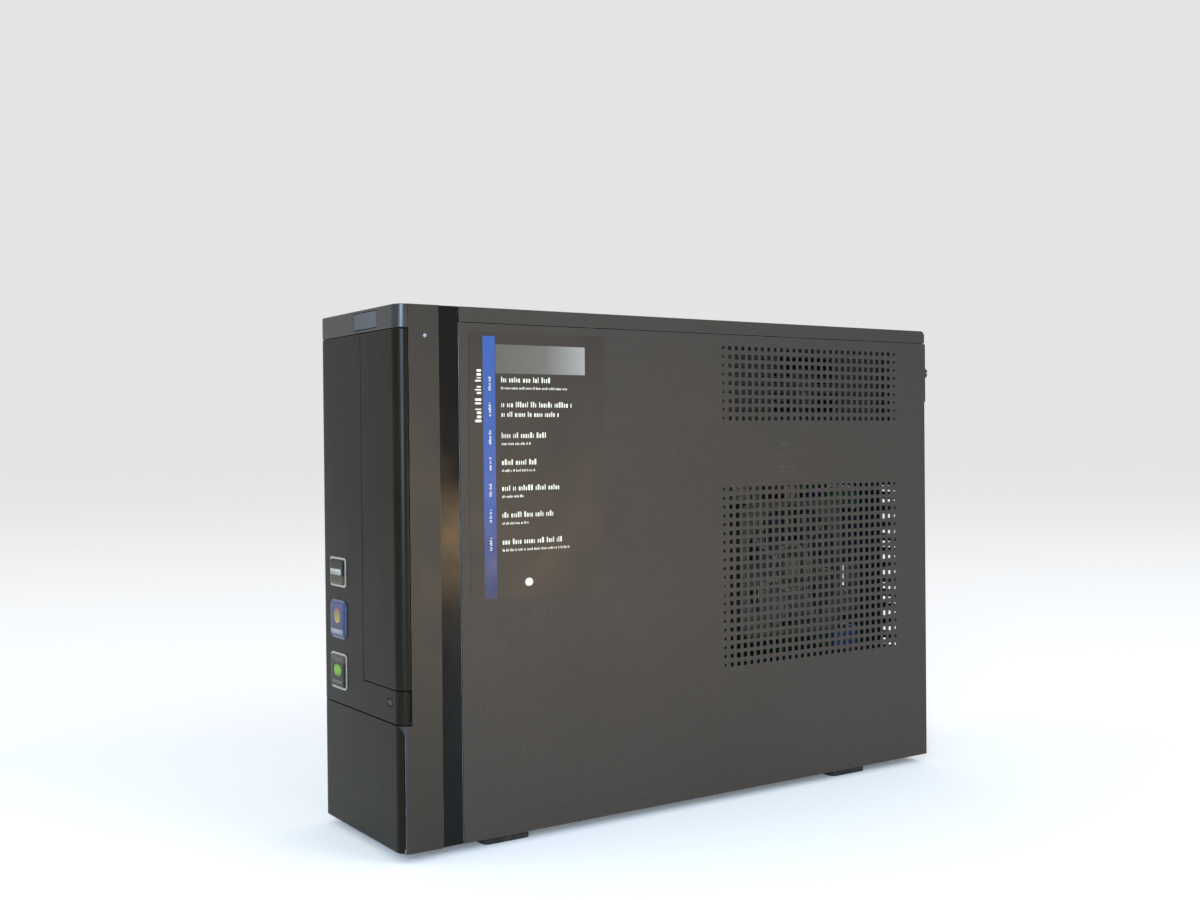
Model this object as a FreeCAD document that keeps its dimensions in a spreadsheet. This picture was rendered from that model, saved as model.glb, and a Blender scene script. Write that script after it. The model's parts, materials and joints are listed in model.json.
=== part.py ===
import FreeCAD, Part, Sketcher
import math
import os
import re

# Slim desktop computer tower, in millimetres.
# +Z is up, the front faces -Y and the removable vented cover is on +X.
# The origin is under the middle of the overall box, on the plane that the feet stand on.
# "past" is how far a cutting tool reaches past the face that it cuts.

DIMENSIONS = {
    # overall box and sheet metal
    "tower_width": 95.0,
    "tower_top": 270.0,
    "foot_height": 5.0,
    "past": 1.0,
    "front_face": -184.0,
    "rear_face": 180.0,
    "chassis_front": -150.0,
    "steel": 0.8,
    "skin_inset": 0.4,
    "rear_bend": 3.0,
    "louvre_left": 11.0,
    "louvre_spacing": 17.0,
    "louvre_length": 15.0,
    "louvre_bottom": 70.0,
    "louvre_rise": 9.0,
    "louvre_height": 4.0,
    "shield_lap": 1.0,
    "slot_window_left": -36.0,
    "slot_window_right": 37.0,
    "slot_window_height": 12.0,
    "cable_opening_left": -42.0,
    "cable_opening_right": -6.0,
    "cable_opening_bottom": 14.0,
    "cable_opening_top": 80.0,
    "intake_left": -40.0,
    "intake_right": -4.0,
    "intake_bottom": 100.0,
    "lower_intake_left": 8.0,
    "lower_intake_right": 40.0,
    "lower_intake_bottom": 16.0,
    "intake_rise": 12.0,
    "intake_height": 6.0,
    # side cover
    "cover_gap": 0.3,
    "cover_top_seam": 262.5,
    "flange_depth": 3.5,
    "flange_drop": 1.3,
    "flange_front": -148.5,
    "flange_clearance": 0.4,
    "rail_clearance": 1.2,
    "seam_clearance": 0.2,
    "tab_left": 38.0,
    "tab_bottom": 226.0,
    "tab_top": 262.0,
    "tab_thickness": 0.9,
    "vent_front": 17.5,
    "vent_pitch": 4.84,
    "vent_rise": 4.94,
    "vent_hole": 2.9,
    "vent_second_hole": 2.3,
    "vent_edge_hole": 1.5,
    "lower_vent_bottom": 76.6,
    "upper_vent_bottom": 215.3,
    "thumbscrew_x": 42.2,
    "thumbscrew_z": 244.0,
    "thumbscrew_head_radius": 3.4,
    "thumbscrew_head": 3.6,
    "thumbscrew_shank_radius": 1.5,
    "thumbscrew_hole_radius": 1.8,
    "thumbscrew_slot_width": 1.0,
    "thumbscrew_slot_depth": 1.0,
    "thumbscrew_tip": 173.0,
    "label_front": -145.0,
    "label_length": 81.0,
    "label_bottom": 124.0,
    "label_height": 134.0,
    "label_thickness": 0.15,
    "label_corner": 2.0,
    # front bezel and its covers
    "corner_radius": 6.0,
    "panel_wall": 2.5,
    "panel_wrap_rear": -178.0,
    "panel_bottom": 83.5,
    "cap_bottom": 258.5,
    "drive_cover_left": 5.5,
    "wing_rear": -161.5,
    "skirt_rear": -150.5,
    "skirt_inset": 1.0,
    "bezel_wall": 2.5,
    "bezel_front_wall_back": -178.5,
    "drive_window_left": 9.0,
    "drive_window_right": 44.0,
    "drive_window_bottom": 114.0,
    "drive_window_top": 254.0,
    "side_notch_depth": 1.3,
    "side_notch_front": -179.8,
    "side_notch_bottom": 69.0,
    "side_notch_top": 83.0,
    # power and eject buttons, light
    "power_left": -2.0,
    "power_width": 27.0,
    "power_bottom": 260.0,
    "power_height": 8.6,
    "power_thickness": 3.0,
    "power_corner": 0.8,
    "power_stem_radius": 2.0,
    "power_stem_back": -176.0,
    "button_clearance": 0.3,
    "power_clearance": 0.5,
    "switch_front": -173.6,
    "switch_back": -168.0,
    "switch_half_width": 6.0,
    "switch_bottom": 259.5,
    "switch_rib": 3.0,
    "switch_margin": 0.5,
    "switch_plunger": 1.0,
    "switch_plunger_radius": 1.6,
    "eject_x": 35.7,
    "eject_z": 77.0,
    "eject_width": 5.0,
    "eject_height": 3.0,
    "eject_back": -177.5,
    "eject_corner": 1.2,
    "led_y": -169.0,
    "led_z": 255.0,
    "led_radius": 0.9,
    "led_gap": 0.05,
    # port door and its hinge
    "door_top": 67.0,
    "door_back": -181.8,
    "door_recess": -181.2,
    "door_corner": 4.0,
    "door_half_width": 46.1,
    "hinge_y": -179.5,
    "hinge_z": 8.6,
    "hinge_pin_radius": 1.2,
    "hinge_hole_radius": 1.25,
    "hinge_knuckle_radius": 2.2,
    "hinge_knuckle_inner": 41.0,
    "hinge_knuckle_outer": 43.5,
    "hinge_side_gap": 0.4,
    "hinge_top_gap": 1.2,
    "hinge_pin_outer": 46.3,
    "hinge_pin_gap": 0.2,
    "hinge_neck_height": 3.52,
    "hinge_neck_inset": 2.0,
    "hinge_relief_top": 7.1,
    "hinge_relief_back": -175.9,
    # front connectors
    "port_board_front": -166.0,
    "port_board_half_width": 42.0,
    "port_board_bottom": 13.0,
    "port_board_top": 62.0,
    "board_post_x": -5.0,
    "board_post_low": 18.0,
    "board_post_high": 58.0,
    "board_post_radius": 2.5,
    "board_thickness": 1.6,
    "usb_width": 13.2,
    "usb_height": 5.8,
    "usb_wall": 0.5,
    "usb_tongue": 1.9,
    "usb_tongue_width": 10.2,
    "usb_tongue_inset": 1.5,
    "usb_tongue_shift": 0.8,
    "usb_depth": 11.0,
    "front_usb_front": -181.0,
    "front_usb_left": -33.0,
    "front_usb_pitch": 18.0,
    "front_usb_low": 38.0,
    "front_usb_rise": 12.0,
    "front_jack_z": 23.0,
    "jack_radius": 3.5,
    "jack_bore": 1.8,
    "port_gap": 0.2,
    "jack_depth": 12.0,
    "reader_left": 1.0,
    "reader_right": 41.0,
    "reader_bottom": 24.0,
    "reader_top": 55.0,
    "reader_margin": 2.5,
    "reader_depth": 13.0,
    "large_card_bottom": 29.0,
    "large_card_width": 35.0,
    "large_card_height": 3.0,
    "medium_card_bottom": 38.0,
    "medium_card_width": 25.0,
    "medium_card_height": 2.6,
    "small_card_bottom": 46.5,
    "small_card_width": 25.5,
    "small_card_height": 2.5,
    # badges
    "badge_left": -34.5,
    "badge_width": 19.5,
    "badge_raise": 0.5,
    "upper_badge_bottom": 128.4,
    "upper_badge_height": 15.3,
    "upper_badge_corner": 1.6,
    "middle_badge_bottom": 101.3,
    "middle_badge_height": 20.1,
    "middle_badge_corner": 4.0,
    "lower_badge_bottom": 74.9,
    "lower_badge_height": 18.8,
    "lower_badge_corner": 2.5,
    # feet
    "foot_width": 13.0,
    "foot_length": 27.0,
    "foot_front": -135.0,
    "foot_rear": 105.0,
    "foot_side": 28.0,
    "foot_corner": 3.0,
    # drive cage and drives
    "cage_left": 2.6,
    "cage_right": 44.9,
    "cage_rear": -5.0,
    "shelf_z": 108.0,
    "cage_lift": 0.2,
    "cage_window_front": -132.0,
    "cage_window_spacing": 42.0,
    "cage_window_length": 28.0,
    "cage_lower_window_bottom": 20.0,
    "cage_lower_window_top": 92.0,
    "cage_upper_window_bottom": 130.0,
    "cage_upper_window_top": 236.0,
    "optical_right": 44.2,
    "optical_bottom": 111.2,
    "optical_top": 257.0,
    "optical_front": -172.0,
    "optical_rear": -6.0,
    "optical_face": 3.5,
    "optical_clearance": 0.6,
    "optical_back_wall": 1.0,
    "tray_left": 20.0,
    "tray_thickness": 7.0,
    "tray_bottom": 119.0,
    "tray_height": 130.0,
    "tray_rear": -15.0,
    "tray_clearance": 2.3,
    "tray_corner": 4.0,
    "disc_y": -115.0,
    "disc_hub_gap": 5.0,
    "sled_window_length": 58.0,
    "deck_left": 7.0,
    "deck_thickness": 2.0,
    "deck_front": -160.0,
    "deck_rear": -22.0,
    "deck_height": 120.0,
    "deck_foot": 8.0,
    "deck_foot_reach": 52.0,
    "spindle_top": 17.0,
    "spindle_tip": 19.4,
    "cone_radius": 7.3,
    "sled_left": 12.0,
    "sled_right": 17.5,
    "sled_front": -86.0,
    "sled_length": 28.0,
    "sled_width": 34.0,
    "sled_arm_drop": 3.5,
    "rail_x": 12.5,
    "rail_offset": 20.0,
    "rail_front": -98.0,
    "rail_rear": -28.0,
    "rail_radius": 1.5,
    "rail_block": 3.0,
    "disc_recess_radius": 60.6,
    "disc_recess_depth": 2.2,
    "small_disc_radius": 41.0,
    "small_disc_depth": 3.4,
    "spindle_radius": 12.0,
    "hdd_left": 6.0,
    "hdd_thickness": 25.6,
    "hdd_front": -148.0,
    "hdd_rear": -2.0,
    "hdd_width": 101.6,
    "hdd_board_space": 2.0,
    "hdd_lid_margin": 3.5,
    "hdd_lid_raise": 0.6,
    "hdd_lid_corner": 6.0,
    "hdd_spindle": 60.0,
    "hdd_cap_raise": 0.9,
    "hdd_cap_radius": 17.0,
    "hdd_board_length": 92.0,
    "hdd_board_margin": 4.0,
    "hdd_socket_bottom": 14.0,
    "hdd_socket_width": 48.0,
    "hdd_socket_height": 6.0,
    "hdd_socket_depth": 6.0,
    "hdd_socket_lift": 1.0,
    "hdd_tongue": 1.4,
    "hdd_tongue_width": 46.0,
    # motherboard and what stands on it
    "standoff": 6.0,
    "standoff_radius": 2.5,
    "main_board_front": -25.0,
    "main_board_rear": 177.0,
    "main_board_bottom": 12.0,
    "main_board_top": 180.0,
    "screw_head_radius": 2.8,
    "screw_head": 2.0,
    "screw_recess_length": 3.4,
    "screw_recess_width": 0.7,
    "screw_recess_depth": 1.2,
    "screw_radius": 1.4,
    "screw_length": 6.0,
    "screw_hole": 1.6,
    "cpu_y": 95.0,
    "cpu_z": 125.0,
    "socket_side": 44.0,
    "socket_height": 3.5,
    "cpu_side": 37.5,
    "cpu_height": 3.5,
    "cpu_lift": 1.0,
    "cpu_clearance": 0.3,
    "cpu_carrier": 1.3,
    "cpu_spreader_side": 30.0,
    "heatsink_side": 70.0,
    "heatsink_base": 6.0,
    "fin_thickness": 0.9,
    "fin_end": 3.0,
    "fan_side": 80.0,
    "fan_depth": 15.0,
    "fan_bore": 38.2,
    "fan_tip": 36.8,
    "fan_hub": 15.0,
    "fan_corner": 5.0,
    "fan_arm_thickness": 1.6,
    "fan_arm_width": 3.5,
    "fan_hole_inset": 4.3,
    "fan_hole_radius": 2.1,
    "fan_rotor_lift": 2.6,
    "fan_blade_thickness": 1.2,
    "memory_front_y": -11.0,
    "memory_pitch": 10.0,
    "memory_slot_bottom": 28.0,
    "memory_slot_length": 140.0,
    "memory_slot_height": 7.0,
    "memory_slot_width": 6.0,
    "memory_groove": 1.5,
    "memory_groove_floor": 2.1,
    "module_length": 133.3,
    "module_height": 30.0,
    "module_thickness": 1.2,
    "module_lift": 0.1,
    "chip_spread": 110.0,
    "chip_width": 11.0,
    "chip_height": 12.0,
    "chip_thickness": 1.1,
    "latch_ear_inner": 2.7,
    "latch_ear_outer": 3.4,
    "latch_end_gap": 0.3,
    "latch_slot_gap": 0.4,
    "latch_width": 4.8,
    "latch_pin_length": 6.6,
    "latch_foot": 1.2,
    "latch_length": 5.5,
    "latch_pivot": 2.7,
    "latch_pivot_height": 3.7,
    "latch_pin_radius": 1.0,
    "latch_hole_radius": 1.05,
    "latch_top": 17.7,
    "slot_pitch": 20.3,
    "slot_first_z": 24.3,
    "slot_cover_left": -38.0,
    "slot_cover_right": 41.0,
    "slot_cover_width": 18.4,
    "slot_tab_length": 11.2,
    "expansion_height": 11.2,
    "expansion_width": 7.6,
    "expansion_rear": 159.0,
    "long_slot_front": 70.0,
    "short_slot_front": 134.0,
    "expansion_groove": 1.8,
    "expansion_groove_depth": 7.0,
    "expansion_groove_end": 3.0,
    "chipset_front": 20.0,
    "chipset_side": 35.0,
    "chipset_bottom": 60.0,
    "chipset_base": 4.0,
    "chipset_height": 14.0,
    "chipset_fin": 1.0,
    "can_radius": 3.9,
    "can_height": 11.0,
    "can_pitch": 10.0,
    "front_cans_y": 50.0,
    "front_cans_bottom": 104.0,
    "rear_cans_y": 143.0,
    "rear_cans_bottom": 98.0,
    "coin_y": 28.0,
    "coin_z": 150.0,
    "coin_holder_radius": 11.5,
    "coin_holder_height": 3.0,
    "coin_radius": 10.0,
    "coin_top": 5.2,
    "power_socket_front": 86.0,
    "power_socket_length": 52.0,
    "power_socket_bottom": 163.0,
    "power_socket_width": 10.0,
    "power_socket_height": 13.0,
    "data_socket_front": 20.0,
    "data_socket_width": 7.0,
    "data_socket_bottom": 22.0,
    "data_socket_length": 14.0,
    "data_socket_spacing": 18.0,
    "data_socket_height": 8.7,
    "header_front": -22.5,
    "header_width": 5.0,
    "header_bottom": 92.0,
    "header_length": 16.0,
    "header_height": 7.0,
    # rear connectors
    "shield_left": -45.5,
    "shield_right": -11.0,
    "shield_bottom": 58.5,
    "shield_top": 179.0,
    "connector_front": 161.0,
    "connector_face": 181.0,
    "connector_gap": 0.3,
    "keyboard_mouse_ports_z": 164.5,
    "keyboard_mouse_ports_width": 14.0,
    "keyboard_mouse_ports_height": 25.5,
    "round_port_lift": 6.6,
    "round_port_pitch": 12.4,
    "round_port_radius": 4.6,
    "round_port_core": 2.6,
    "round_port_depth": 8.0,
    "video_port_z": 138.5,
    "video_port_width": 31.0,
    "video_port_height": 12.6,
    "video_shell_lift": 2.2,
    "video_shell_height": 8.2,
    "video_shell_width": 17.0,
    "video_shell_depth": 2.4,
    "video_post_offset": 12.5,
    "video_post_radius": 2.6,
    "video_pin_row": 2.0,
    "video_pin_pitch": 2.6,
    "video_pin_radius": 0.5,
    "rear_usb_ports_z": 112.75,
    "rear_usb_ports_width": 14.5,
    "rear_usb_ports_height": 15.6,
    "rear_usb_lift": 3.9,
    "rear_usb_pitch": 7.8,
    "lan_port_z": 94.5,
    "lan_port_width": 16.0,
    "lan_port_height": 13.6,
    "lan_jack_lift": 2.2,
    "lan_jack_height": 8.4,
    "lan_jack_width": 11.8,
    "lan_jack_depth": 14.0,
    "rear_audio_jacks_z": 72.5,
    "rear_audio_jacks_width": 13.0,
    "rear_audio_jacks_height": 26.0,
    "audio_jack_lift": 5.0,
    "audio_jack_pitch": 8.2,
    "audio_jack_raise": 1.2,
    "audio_jack_radius": 3.6,
    # power supply
    "psu_left": -45.0,
    "psu_right": 40.0,
    "psu_front": 5.0,
    "psu_bottom": 200.5,
    "psu_top": 266.0,
    "psu_window_margin": 6.0,
    "psu_fan_y": 85.0,
    "psu_fan_side": 60.0,
    "psu_fan_bore": 28.2,
    "psu_fan_tip": 27.0,
    "psu_fan_hub": 12.0,
    "psu_slot_rise": 4.1,
    "psu_slot_height": 2.6,
    "psu_rear_slot_left": 2.0,
    "psu_rear_slot_right": 32.0,
    "psu_rear_slot_bottom": 222.0,
    "psu_rear_slot_rise": 4.3,
    "psu_rear_slot_height": 2.4,
    "psu_front_slot_pitch": 7.0,
    "psu_front_slot_width": 3.5,
    "psu_low_slot_left": -40.0,
    "psu_low_slot_bottom": 206.0,
    "psu_low_slot_length": 6.0,
    "psu_tall_slot_left": 14.0,
    "psu_tall_slot_bottom": 225.0,
    "psu_tall_slot_length": 33.0,
    "inlet_x": -21.0,
    "inlet_z": 236.0,
    "inlet_width": 27.6,
    "inlet_height": 20.0,
    "inlet_flange": 1.6,
    "inlet_flange_thickness": 2.2,
    "inlet_depth": 17.0,
    "inlet_wall": 2.0,
    "inlet_corner": 2.5,
    "inlet_blade_offset": 7.0,
    "inlet_blade_thickness": 2.0,
    "inlet_blade_width": 4.0,
    "inlet_earth_offset": 4.0,
    "selector_left": 10.0,
    "selector_z": 215.0,
    "selector_width": 4.0,
    "selector_gap": 0.3,
    "selector_raise": 0.7,
    "selector_behind": 0.1,
    "selector_runner": 2.0,
    "selector_runner_width": 7.0,
    "selector_overlap": 6.0,
    "selector_travel": 5.0,
    # leads
    "harness_radius": 4.0,
    "power_lead_radius": 2.5,
    "data_lead_radius": 2.0,
}

doc = FreeCAD.newDocument("desktop_tower")
sheet = doc.addObject("Spreadsheet::Sheet", "Dims")
for row, (alias, number) in enumerate(DIMENSIONS.items(), start=1):
    sheet.set(f"A{row}", alias.replace("_", " "))
    sheet.set(f"B{row}", str(number))
    sheet.setAlias(f"B{row}", alias)
doc.recompute()

# Planes that many sub-parts share, as expressions of the sheet's cells.
SIDE = "tower_width / 2"
SKIN = "(tower_width / 2 - skin_inset)"
WALL = "(tower_width / 2 - skin_inset - steel)"
FLOOR = "(foot_height + steel)"
REAR_INSIDE = "(rear_face - steel)"
BOARD_BACK = f"(-{WALL} + standoff)"
BOARD = f"(-{WALL} + standoff + board_thickness)"

TURNS = {
    "X": FreeCAD.Rotation(FreeCAD.Vector(0, 1, 0), 90),
    "Y": FreeCAD.Rotation(FreeCAD.Vector(1, 0, 0), -90),
    "Z": FreeCAD.Rotation(),
}
NODES = {}


# ---------------------------------------------------------------- helpers

def expr(text):
    """The expression with each alias pointed at the sheet."""
    return re.sub(r"[a-z][a-z_0-9]*", lambda word: "Dims." + word.group(), str(text))


def size(text):
    """The number that an expression of aliases comes to."""
    return float(sheet.evalExpression(expr(text).replace("Dims.", "")))


def place(feature, x, y, z):
    for axis, value in zip("xyz", (x, y, z)):
        feature.setExpression(f"Placement.Base.{axis}", expr(value))


def box(x, y, z):
    """A block between a low and a high expression along each axis."""
    feature = doc.addObject("Part::Box", "Block")
    for side, (low, high) in zip(("Length", "Width", "Height"), (x, y, z)):
        feature.setExpression(side, expr(f"({high}) - ({low})"))
    place(feature, x[0], y[0], z[0])
    return feature


def about(centre, width):
    """Low and high ends of a width about a centre."""
    return f"{centre} - ({width}) / 2", f"{centre} + ({width}) / 2"


def rod(axis, centre, span, radius):
    """A cylinder along an axis; centre holds its other two coordinates."""
    feature = doc.addObject("Part::Cylinder", "Rod")
    feature.Placement = FreeCAD.Placement(FreeCAD.Vector(), TURNS[axis])
    feature.setExpression("Radius", expr(radius))
    feature.setExpression("Height", expr(f"({span[1]}) - ({span[0]})"))
    corner = list(centre)
    corner.insert("XYZ".index(axis), span[0])
    place(feature, *corner)
    return feature


def fuse(*shapes):
    feature = doc.addObject("Part::MultiFuse", "Fusion")
    feature.Shapes = list(shapes)
    feature.Refine = True
    return feature


def group(*shapes):
    """Separate solids kept together as one feature."""
    feature = doc.addObject("Part::Compound", "Group")
    feature.Links = list(shapes)
    return feature


def cut(base, *tools):
    feature = doc.addObject("Part::Cut", "Cut")
    feature.Base = base
    feature.Tool = tools[0] if len(tools) == 1 else fuse(*tools)
    return feature


def common(base, tool):
    feature = doc.addObject("Part::Common", "Common")
    feature.Base = base
    feature.Tool = tool
    return feature


def rounded(base, radius, along, chosen=lambda centre: True):
    """Round the straight edges that run along an axis and whose centre is chosen."""
    doc.recompute()
    amount = size(radius)
    axis = "XYZ".index(along)
    edges = []
    for number, edge in enumerate(base.Shape.Edges, start=1):
        straight = edge.Curve.TypeId == "Part::GeomLine"
        if straight and abs(edge.Curve.Direction[axis]) > 0.99 and chosen(edge.CenterOfMass):
            edges.append((number, amount, amount))
    feature = doc.addObject("Part::Fillet", "Rounded")
    feature.Base = base
    feature.Edges = edges
    return feature


def origin_plane(body, role):
    return next(item for item in body.Origin.OriginFeatures if item.Role == role)


def slab(width, height, thickness, corner, at, facing="Z"):
    """A PartDesign body: a padded rectangle with rounded corners.

    Its rectangle starts at the body's origin and its thickness runs along facing.
    Facing Y, the width runs along X and the height along -Z.
    Facing X, the width runs along -Z and the height along Y.
    """
    body = doc.addObject("PartDesign::Body", "Slab")
    sketch = body.newObject("Sketcher::SketchObject", "SlabOutline")
    sketch.AttachmentSupport = (origin_plane(body, "XY_Plane"), [""])
    sketch.MapMode = "FlatFace"
    corners = [(0, 0), (1, 0), (1, 1), (0, 1)]
    points = [FreeCAD.Vector(x * size(width), y * size(height), 0) for x, y in corners]
    for start, end in zip(points, points[1:] + points[:1]):
        sketch.addGeometry(Part.LineSegment(start, end), False)
    for line in range(4):
        sketch.addConstraint(Sketcher.Constraint("Coincident", line, 2, (line + 1) % 4, 1))
    for line, kind in enumerate(("Horizontal", "Vertical", "Horizontal", "Vertical")):
        sketch.addConstraint(Sketcher.Constraint(kind, line))
    sketch.addConstraint(Sketcher.Constraint("Coincident", 0, 1, -1, 1))
    across = sketch.addConstraint(Sketcher.Constraint("DistanceX", 0, 1, 0, 2, size(width)))
    upward = sketch.addConstraint(Sketcher.Constraint("DistanceY", 1, 1, 1, 2, size(height)))
    sketch.setExpression(f"Constraints[{across}]", expr(width))
    sketch.setExpression(f"Constraints[{upward}]", expr(height))
    pad = body.newObject("PartDesign::Pad", "SlabPad")
    pad.Profile = sketch
    pad.setExpression("Length", expr(thickness))
    doc.recompute()
    upright = [
        f"Edge{number}"
        for number, edge in enumerate(pad.Shape.Edges, start=1)
        if abs(edge.Curve.Direction.z) > 0.99
    ]
    fillet = body.newObject("PartDesign::Fillet", "SlabCorners")
    fillet.Base = (pad, upright)
    fillet.setExpression("Radius", expr(corner))
    body.Placement = FreeCAD.Placement(FreeCAD.Vector(), TURNS[facing])
    place(body, *at)
    return body


def lead(radius, points):
    """A round lead: straight runs joined by tangent arcs as large as the runs allow."""
    points = [FreeCAD.Vector(*point) for point in points]
    edges = []
    start = points[0]
    for before, corner, after in zip(points, points[1:], points[2:]):
        inward = (corner - before).normalize()
        outward = (after - corner).normalize()
        turn = inward.getAngle(outward)
        shorter = min((corner - before).Length, (after - corner).Length)
        setback = 0.45 * shorter
        arc_radius = setback / math.tan(turn / 2)
        entry = corner - inward * setback
        leave = corner + outward * setback
        bisector = (outward - inward).normalize()
        centre = corner + bisector * (arc_radius / math.cos(turn / 2))
        middle = centre - bisector * arc_radius
        edges.append(Part.LineSegment(start, entry).toShape())
        edges.append(Part.Arc(entry, middle, leave).toShape())
        start = leave
    edges.append(Part.LineSegment(start, points[-1]).toShape())
    path = Part.Wire(edges)
    amount = size(radius)
    direction = (points[1] - points[0]).normalize()
    profile = Part.Wire([Part.Circle(points[0], direction, amount).toShape()])
    tube = path.makePipeShell([profile], True, False)
    expected = math.pi * amount ** 2 * path.Length
    if abs(tube.Volume / expected - 1) > 0.02:
        raise ValueError(f"lead volume {tube.Volume:.0f}, expected {expected:.0f}")
    feature = doc.addObject("Part::Feature", "Lead")
    feature.Shape = tube
    feature.Placement = FreeCAD.Placement()
    return feature


def node(name, feature):
    feature.Label = name
    NODES[name] = feature


# ---------------------------------------------------------------- chassis

def chassis_screw_places():
    """Centre, axis and head side of every machine screw: (axis, centre, seat, sign)."""
    seats = []
    for y in (-20, 80, 170):
        for z in (18, 176):
            seats.append(("X", (y, z), BOARD, 1))
    for y in (-130, -40):
        for z in (116, 252):
            seats.append(("X", (y, z), "cage_left", -1))
    for y in (-120, -60):
        seats.append(("Z", (19, y), "shelf_z + steel", 1))
        seats.append(("Z", (19, y), "foot_height", -1))
    for x, z in ((-42, 203.6), (35, 203.6), (35, 262.8)):
        seats.append(("Y", (x, z), "rear_face", 1))
    return seats


def screw_holes(axis, radius="screw_hole"):
    """Clearance cylinders for the screws along one axis."""
    return [
        rod(direction, centre, (f"{seat} - screw_length * 1.4", f"{seat} + screw_length * 1.4"), radius)
        for direction, centre, seat, _ in chassis_screw_places()
        if direction == axis
    ]


def cross_recess(axis, centre, face, sign):
    """The cross that a driver fits, sunk into a screw head from its face."""
    depth = (f"{face} - {sign} * screw_recess_depth", f"{face} + {sign} * past")
    along = tuple(sorted(depth, key=size))
    bars = []
    for first, second in (("screw_recess_length", "screw_recess_width"),
                          ("screw_recess_width", "screw_recess_length")):
        spans = [about(centre[0], first), about(centre[1], second)]
        spans.insert("XYZ".index(axis), along)
        bars.append(box(*spans))
    return bars


def make_screws():
    screws = []
    for axis, centre, seat, sign in chassis_screw_places():
        head_span = [seat, f"{seat} + screw_head"]
        shank_span = [f"{seat} - screw_length", seat]
        if sign < 0:
            head_span = [f"{seat} - screw_head", seat]
            shank_span = [seat, f"{seat} + screw_length"]
        head = rod(axis, centre, head_span, "screw_head_radius")
        shank = rod(axis, centre, shank_span, "screw_radius")
        face = f"({seat} + {sign} * screw_head)"
        screws.append(cut(fuse(head, shank), *cross_recess(axis, centre, face, sign)))
    node("machine_screws", group(*screws))


def rear_corner_tool():
    """What rounding leaves off the upper rear corner, across the whole width."""
    across = (f"-{SKIN} - past", f"{SKIN} + past")
    block = box(across, ("rear_face - rear_bend", "rear_face + past"),
                ("tower_top - rear_bend", "tower_top + past"))
    bend = rod("X", ("rear_face - rear_bend", "tower_top - rear_bend"), across, "rear_bend")
    return cut(block, bend)


def make_chassis_shell():
    length = ("chassis_front", "rear_face")
    outer = box((f"-{SKIN}", f"{WALL} - cover_gap"), length, ("foot_height", "tower_top"))
    inner = box((f"-{WALL}", f"{SKIN} + past"), ("chassis_front - past", "rear_face + past"),
                (FLOOR, "tower_top - steel"))
    top_edge = box((f"{WALL} - cover_gap - past", SKIN), length, ("tower_top - steel", "tower_top"))
    strip = box((WALL, SKIN), length, ("cover_top_seam", "tower_top"))
    rail = box((f"{WALL} - flange_depth - past", WALL), ("chassis_front", REAR_INSIDE),
               ("cover_top_seam", "cover_top_seam + steel"))
    rear_gap = box((f"-{WALL}", WALL), ("rear_face - rear_bend", "rear_face + past"),
                   ("tower_top - rear_bend", "tower_top + past"))
    shell = fuse(cut(outer, inner), top_edge, strip, rail)
    node("chassis_shell", cut(shell, rear_corner_tool(), rear_gap, *screw_holes("Z")))


def rear_vent_slots():
    """Louvre slots in the rear panel beside the connector shield."""
    slots = []
    for column in range(2):
        for line in range(12):
            left = f"louvre_left + {column} * louvre_spacing"
            bottom = f"louvre_bottom + {line} * louvre_rise"
            slots.append(box((left, f"{left} + louvre_length"), (f"{REAR_INSIDE} - past", "rear_face + past"),
                             (bottom, f"{bottom} + louvre_height")))
    return slots


def slot_centre(number):
    return f"(slot_first_z + {number} * slot_pitch)"


def make_rear_panel():
    through = (f"{REAR_INSIDE} - past", "rear_face + past")
    plate = box((f"-{WALL}", f"{WALL} - cover_gap"), (REAR_INSIDE, "rear_face"),
                (FLOOR, "tower_top - rear_bend"))
    across = (f"-{WALL}", WALL)
    centre = ("rear_face - rear_bend", "tower_top - rear_bend")
    tube = cut(rod("X", centre, across, "rear_bend"), rod("X", centre, across, "rear_bend - steel"))
    quarter = box(across, ("rear_face - rear_bend", "rear_face"), ("tower_top - rear_bend", "tower_top"))
    windows = [
        box(("psu_left + psu_window_margin", "psu_right - psu_window_margin"), through,
            ("psu_bottom + psu_window_margin", "psu_top - psu_window_margin")),
        box(("shield_left + shield_lap", "shield_right - shield_lap"), through,
            ("shield_bottom + shield_lap", "shield_top - shield_lap")),
    ]
    for number in range(2):
        windows.append(box(("slot_window_left", "slot_window_right"), through,
                           about(slot_centre(number), "slot_window_height")))
    notch = (f"{WALL} - flange_depth - flange_clearance", f"{WALL} + past")
    upper = "cover_top_seam - flange_drop"
    lower = "foot_height + flange_drop"
    notches = [
        box(notch, through, (f"{upper} - flange_clearance", f"{upper} + steel + flange_clearance")),
        box(notch, through, (f"{lower} - flange_clearance", f"{lower} + steel + flange_clearance")),
    ]
    screw_hole = rod("Y", ("thumbscrew_x", "thumbscrew_z"), through, "thumbscrew_hole_radius")
    panel = fuse(plate, common(tube, quarter))
    node("rear_panel", cut(panel, group(*windows, *notches, *rear_vent_slots(), screw_hole),
                           group(*screw_holes("Y"))))


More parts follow.
